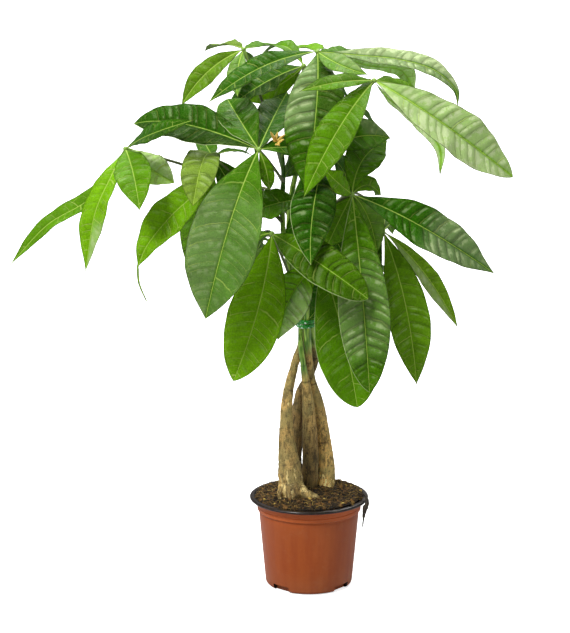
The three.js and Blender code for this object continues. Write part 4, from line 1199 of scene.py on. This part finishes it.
def make_scatter_tree(name, fibre):
    """A geometry tree that scatters rough crumbs or thin fibres over a surface."""
    inputs = ("Geometry", "Density", "Small", "Large", "Seed", "Material")
    tree, shader, given = new_group(name, "GeometryNodeTree", inputs, ("Geometry",))
    seed = given["Seed"]
    spots = shader.add("GeometryNodeDistributePointsOnFaces", {
        "Mesh": given["Geometry"], "Density": given["Density"], "Seed": seed,
    })
    least, most = ((-0.5, -0.5, 0.0), (0.5, 0.5, 6.3)) if fibre else ((0.0, 0.0, 0.0), (6.3, 6.3, 6.3))
    turn = shader.add("FunctionNodeRandomValue", {"Min": least, "Max": most, "Seed": seed},
                      data_type="FLOAT_VECTOR")
    size = shader.add("FunctionNodeRandomValue", {2: given["Small"], 3: given["Large"], "Seed": seed}, 1,
                      data_type="FLOAT")
    tint = shader.add("FunctionNodeRandomValue", {2: 0.0, 3: 1.0, "Seed": 9}, 1, data_type="FLOAT")
    if fibre:
        bow = shader.add("GeometryNodeCurveQuadraticBezier", {
            "Resolution": 6, "Start": (-1.0, 0.0, 0.1), "Middle": (0.0, 0.4, 0.4), "End": (1.0, 0.0, 0.1),
        })
        profile = shader.add("GeometryNodeCurvePrimitiveCircle", {"Resolution": 4, "Radius": 0.035})
        tube = {"Curve": bow, "Profile Curve": profile, "Fill Caps": True}
        shape = shader.add("GeometryNodeCurveToMesh", tube)
    else:
        shape = shader.add("GeometryNodeMeshIcoSphere", {"Radius": 1.0, "Subdivisions": 2})
    placed = shader.add("GeometryNodeInstanceOnPoints", {
        "Points": spots, "Instance": shape, "Rotation": turn, "Scale": size,
    })
    stored = {"Geometry": placed, "Name": "shade", "Value": tint}
    tinted = shader.add("GeometryNodeStoreNamedAttribute", stored, data_type="FLOAT", domain="INSTANCE")
    real = shader.add("GeometryNodeRealizeInstances", {"Geometry": tinted})
    if not fibre:
        place = shader.add("GeometryNodeInputPosition")
        swirl = shader.add("ShaderNodeTexNoise", {"Vector": place, "Scale": 620.0, "Detail": 2.0}, "Color")
        centred = shader.add("ShaderNodeVectorMath", {0: swirl, 1: (0.5, 0.5, 0.5)}, operation="SUBTRACT")
        shift = shader.add("ShaderNodeVectorMath", {0: centred, "Scale": 0.0035}, operation="SCALE")
        real = shader.add("GeometryNodeSetPosition", {"Geometry": real, "Offset": shift})
    dressed = shader.add("GeometryNodeSetMaterial", {"Geometry": real, "Material": given["Material"]})
    shader.add("NodeGroupOutput", {"Geometry": dressed})
    return tree


def scatter(name, ground, tree, values):
    """Runs a geometry tree on a copy of the ground and keeps its result as a plain mesh."""
    piece = link(name, ground.copy())
    modifier = piece.modifiers.new("scatter", "NODES")
    modifier.node_group = tree
    for socket in tree.interface.items_tree:
        if socket.in_out == "INPUT" and socket.name in values:
            modifier[socket.identifier] = values[socket.name]
    apply_modifiers(piece)
    piece.data.name = name
    return piece


def soil_patch():
    """The part of the soil's surface that crumbs lie on."""
    places = soil_disc((SOIL_REACH - 0.8) * np.linspace(0.04, 1, PATCH_RINGS)[::-1], PATCH_SIDES)
    mesh = bpy.data.meshes.new("soil_patch")
    mesh.from_pydata(((places + (0, 0, 0.2)) * MM).tolist(), [], grid_faces(PATCH_RINGS, PATCH_SIDES, True))
    return mesh


# The dead root that lies over the lip on the right, with its thickness
DEAD_ROOT = (
    (40, -4, 82, 1), (47, -8, 92, 1), (53, -14, 97, 0.9), (57, -20, 96, 1.2), (58, -25, 91, 2),
    (55.5, -29, 85.5, 2.4), (54.5, -29, 78, 1.2), (54, -28.5, 72, 0.7), (53.5, -28, 67, 0.5),
)
DEAD_ROWS = 70
DEAD_SIDES = 14


def make_dead_root(material):
    line = curve_at(DEAD_ROOT, np.linspace(0, 1, DEAD_ROWS))
    waves = np.sin(np.linspace(0, 40, DEAD_ROWS))[:, None] * np.cos(np.arange(DEAD_SIDES) * 1.7)
    body = Body()
    radii = line[:, 3:] * (1 + 0.25 * waves)
    add_tube(body, line[:, :3], radii, DEAD_SIDES, shade=np.zeros(DEAD_ROWS))
    return body.make("dead_root", [material])


# Pot
def lathe(name, profile, material):
    """A closed body of revolution. The profile starts and ends on the axis."""
    body = Body()
    rings = [ring(radius, height, POT_SEGMENTS) for radius, height in profile]
    body.add(np.concatenate(rings), grid_faces(len(profile), POT_SEGMENTS, True))
    piece = body.make(name, [material], POT_SHARP)
    merge_doubles(piece)
    return piece


def rounded(corner, radius, first, last, steps):
    """Points of a quarter turn round a centre, between two angles in degrees."""
    angles = np.radians(np.linspace(first, last, steps))
    return [(corner[0] + radius * math.cos(angle), corner[1] + radius * math.sin(angle)) for angle in angles]


def box_body(name, low, high):
    corners = [(x, y, z) for z in (low[2], high[2]) for y in (low[1], high[1]) for x in (low[0], high[0])]
    faces = [(0, 2, 3, 1), (4, 5, 7, 6), (0, 1, 5, 4), (2, 6, 7, 3), (0, 4, 6, 2), (1, 3, 7, 5)]
    body = Body()
    body.add(corners, faces)
    return body.make(name, [])


def recess_block(name, margin):
    """One block that cuts a raised drain recess into the foot."""
    side = RECESS_WIDTH / 2 + margin
    top = RECESS_HEIGHT + margin
    return box_body(name, (RECESS_INNER_RADIUS - margin, -side, -top), (RIM_RADIUS + margin, side, top))


def make_pot(material):
    outside = [(0, 0), (FOOT_RADIUS - 6.5, 0), (FOOT_RADIUS - 4.2, 0)]
    outside += rounded((FOOT_RADIUS - 4.1, 4), 4, -90, -5, 7)
    outside += [(FOOT_RADIUS + 0.1 + (NECK_RADIUS - FOOT_RADIUS) * share, 6 + (NECK_HEIGHT - 6) * share)
                for share in (0.1, 0.3, 0.5, 0.7, 0.9, 1)]
    outside += [(NECK_RADIUS + out, height) for out, height in NECK_GROOVE]
    outside += [(NECK_RADIUS + 0.3, COLLAR_BOTTOM - 0.4), (COLLAR_RADIUS - 0.6, COLLAR_BOTTOM + 0.2)]
    outside += [(COLLAR_RADIUS, COLLAR_BOTTOM + 0.8)]
    outside += [(COLLAR_RADIUS + out, height) for out, height in COLLAR_GROOVE]
    outside += [(COLLAR_RADIUS + 0.4, LIP_BOTTOM)]
    outside += [(RIM_RADIUS - 3, LIP_BOTTOM)]
    outside += rounded((RIM_RADIUS - 1.5, LIP_BOTTOM + 1.55), 1.5, -80, 90, 9)
    mouth = RIM_RADIUS - LIP_WIDTH
    outside += [(mouth + 1.2, POT_HEIGHT), (mouth, POT_HEIGHT), (0, POT_HEIGHT)]
    inside = [(0, WALL), (FOOT_RADIUS - 8, WALL)]
    inside += rounded((FOOT_RADIUS - 5.2, 5), 3.8, -90, -5, 5)
    inside += [(NECK_RADIUS - WALL, NECK_HEIGHT), (NECK_RADIUS + 0.2 - WALL, COLLAR_BOTTOM)]
    inside += [(COLLAR_RADIUS - WALL, COLLAR_BOTTOM + 1.2), (COLLAR_RADIUS + 0.4 - WALL, LIP_BOTTOM)]
    inside += [(mouth, LIP_BOTTOM + 2), (mouth, POT_HEIGHT + 4), (0, POT_HEIGHT + 4)]
    pot = lathe("pot_shell", outside, material)
    hollow = lathe("pot_hollow", inside, material)
    for turn in RECESS_TURNS:
        cut(pot, turned(recess_block("recess", 0), turn))
        cut(hollow, turned(recess_block("recess_wall", WALL), turn))
    cut(pot, hollow)
    middle = RECESS_INNER_RADIUS + 2.6
    low = (middle - SLOT_WIDTH / 2, -SLOT_LENGTH / 2, RECESS_HEIGHT - 2)
    high = (middle + SLOT_WIDTH / 2, SLOT_LENGTH / 2, RECESS_HEIGHT + 2.5)
    for turn in RECESS_TURNS:
        cut(pot, turned(box_body("slot", low, high), turn))
    pot.data.set_sharp_from_angle(angle=math.radians(POT_SHARP))
    return pot


# Tie
def make_tie(material):
    """A crumpled ribbon of film, wound twice round the stems."""
    turns = turns_of(TIE_SIDES)
    section = CIRCLE * np.linspace(0, 1, TIE_ROWS + 1)[:-1]
    body = Body()
    for wind in range(TIE_WINDS):
        low = TIE_BOTTOM + wind * TIE_HEIGHT * 0.45
        rings = []
        for out, z in zip(0.45 * np.sin(section), low + TIE_HEIGHT * 0.275 * (1 - np.cos(section))):
            crumple = 0.5 * np.sin(7 * turns + 3 * wind + z) + 0.3 * np.sin(17 * turns + 2 * z)
            radius = TIE_RADIUS + out + TIE_CRUMPLE * crumple
            tilt = 0.7 * np.sin(turns + 2.4 * wind + 0.5)
            rings.append(ring(radius, z + tilt, TIE_SIDES, TIE_CENTRE))
        faces = grid_faces(TIE_ROWS + 1, TIE_SIDES, True)
        count = TIE_ROWS * TIE_SIDES
        body.add(np.concatenate(rings), [tuple(corner % count for corner in face) for face in faces])
    return body.make("tie_ribbon", [material], 60)


# Bud sheaths on the tips of the shoots: where each starts and ends, and its width
SHEATHS = (
    ((-33, -86, 465), (-38, -93, 475), 6), ((-32, -86, 463), (-25, -94, 468), 6),
    ((-34, -86, 465), (-31, -93, 475), 5), ((-32, -85, 465), (-24, -90, 472), 5),
    ((-33, -87, 463), (-29, -94, 462), 5),
)
SHEATH_THICKNESS = 0.3
SHEATH_ROWS = 14
SHEATH_COLUMNS = 7


def make_sheaths(material):
    draw = random.Random(4)
    share = np.linspace(0, 1, SHEATH_ROWS)
    columns = np.linspace(-1, 1, SHEATH_COLUMNS)
    body = Body()
    for start, tip, wide in SHEATHS:
        middle = (np.array(start) + np.array(tip)) / 2 + (0, -1.5, 1)
        centres = arch_at(start, middle, tip, share)
        forward = unit(np.gradient(centres, axis=0))
        across = unit(np.cross(forward, FORWARD))
        normal = np.cross(across, forward)[:, None, :]
        half = wide / 2 * (share * 0.7 + 0.35) ** 0.5 * (1.02 - share) ** 0.8
        cup = 1.6 * columns ** 2 + 0.3 * np.array([draw.uniform(-1, 1) for _ in columns])
        sheet = centres[:, None, :] + across[:, None, :] * np.outer(half, columns)[:, :, None]
        sheet = sheet - normal * np.outer(half / wide * 2, cup)[:, :, None]
        add_sheet(body, sheet + normal * SHEATH_THICKNESS / 2, sheet - normal * SHEATH_THICKNESS / 2)
    return body.make("bud_sheaths", [material])


# Stage
def make_floor():
    material, shader = new_material("studio_floor")
    straight = shader.add("ShaderNodeLightPath", None, "Is Camera Ray")
    color = shader.mix(shader.noise(shader.place(), 3.0) * 0.1, FLOOR_PALE, FLOOR_GREY)
    color = shader.mix(straight, FLOOR_DULL, color)
    glow = shader.mix(straight, BLACK, WHITE)
    shader.output(shader.principled(color, 0.9, Specular_IOR_Level=0.0, Emission_Color=glow,
                                    Emission_Strength=FLOOR_GLOW))
    half = FLOOR_SIZE / 2
    body = Body()
    corners = [(x, y, -0.5) for x, y in ((-half, -half), (half, -half), (half, half), (-half, half))]
    body.add(corners, [(0, 1, 2, 3)])
    floor = body.make("floor", [material])


def make_world():
    world = bpy.data.worlds.new("studio")
    bpy.context.scene.world = world
    world.use_nodes = True
    shader = Shader(world.node_tree)
    straight = shader.add("ShaderNodeLightPath", None, "Is Camera Ray")
    strength = straight * (1 - WORLD_STRENGTH) + WORLD_STRENGTH
    sky = shader.add("ShaderNodeBackground", {"Color": WHITE, "Strength": strength})
    shader.add("ShaderNodeOutputWorld", {"Surface": sky})


def settle(piece, slot, *nodes):
    """Puts a finished piece in the frame."""
    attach(piece, "root")
    if nodes:
        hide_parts(*nodes)


make_camera()
make_sun("key", (-0.55, -0.7, 1.1), 2.7, 18)
make_sun("back", (0.2, 0.75, 1.0), 2.2, 25)
make_softbox("top_softbox", (-0.1, 0.1, 1.6), (0.7, 0.7), 10)
make_softbox("left_softbox", (-1.3, -0.7, 0.9), (0.5, 1.2), 5)
make_softbox("right_softbox", (1.3, -0.8, 0.8), (0.4, 1.2), 3)
make_world()
make_floor()
bpy.context.scene.view_settings.view_transform = "Standard"

mottle = make_mottle_group()
leaf_materials = [make_leaf_material(mottle, make_vein_group()), make_petiole_material(mottle)]
bark = make_bark_material(mottle)
soil = make_soil_material(mottle, "soil", SOIL_DARK, SOIL_BROWN, 0.95)
fibre = make_soil_material(mottle, "soil_fibre", SOIL_BROWN, FIBRE_BROWN, 0.85)
dead = make_soil_material(mottle, "dead_root", ROOT_BLACK, SOIL_BROWN, 0.7)

settle(make_pot(make_pot_material(mottle)), "pot", "pot")
settle(make_soil(soil), "soil", "soil")
patch = soil_patch()
crumb_values = {"Density": 210000.0, "Small": 0.0005, "Large": 0.0021, "Seed": 3, "Material": soil}
settle(scatter("soil_crumbs", patch, make_scatter_tree("crumbs", False), crumb_values), "soil")
fibre_values = {"Density": 100000.0, "Small": 0.0025, "Large": 0.0075, "Seed": 8, "Material": fibre}
settle(scatter("soil_fibres", patch, make_scatter_tree("fibres", True), fibre_values), "soil")
settle(make_dead_root(dead), "soil")
settle(make_tie(make_tie_material()), "tie", "tie")
for index, name in enumerate(STEMS):
    settle(make_stem(name, index, bark), "bark", name)
settle(make_sheaths(make_sheath_material(mottle)), "bark")
for index, (name, leaf) in enumerate(LEAVES.items()):
    settle(make_leaf(name, leaf, index, leaf_materials), "leaf", name)
for index, (name, leaf) in enumerate(BACK_LEAVES.items()):
    settle(make_leaf(name, spread_leaf(leaf, 40 + index), 20 + index, leaf_materials), "leaf", name)
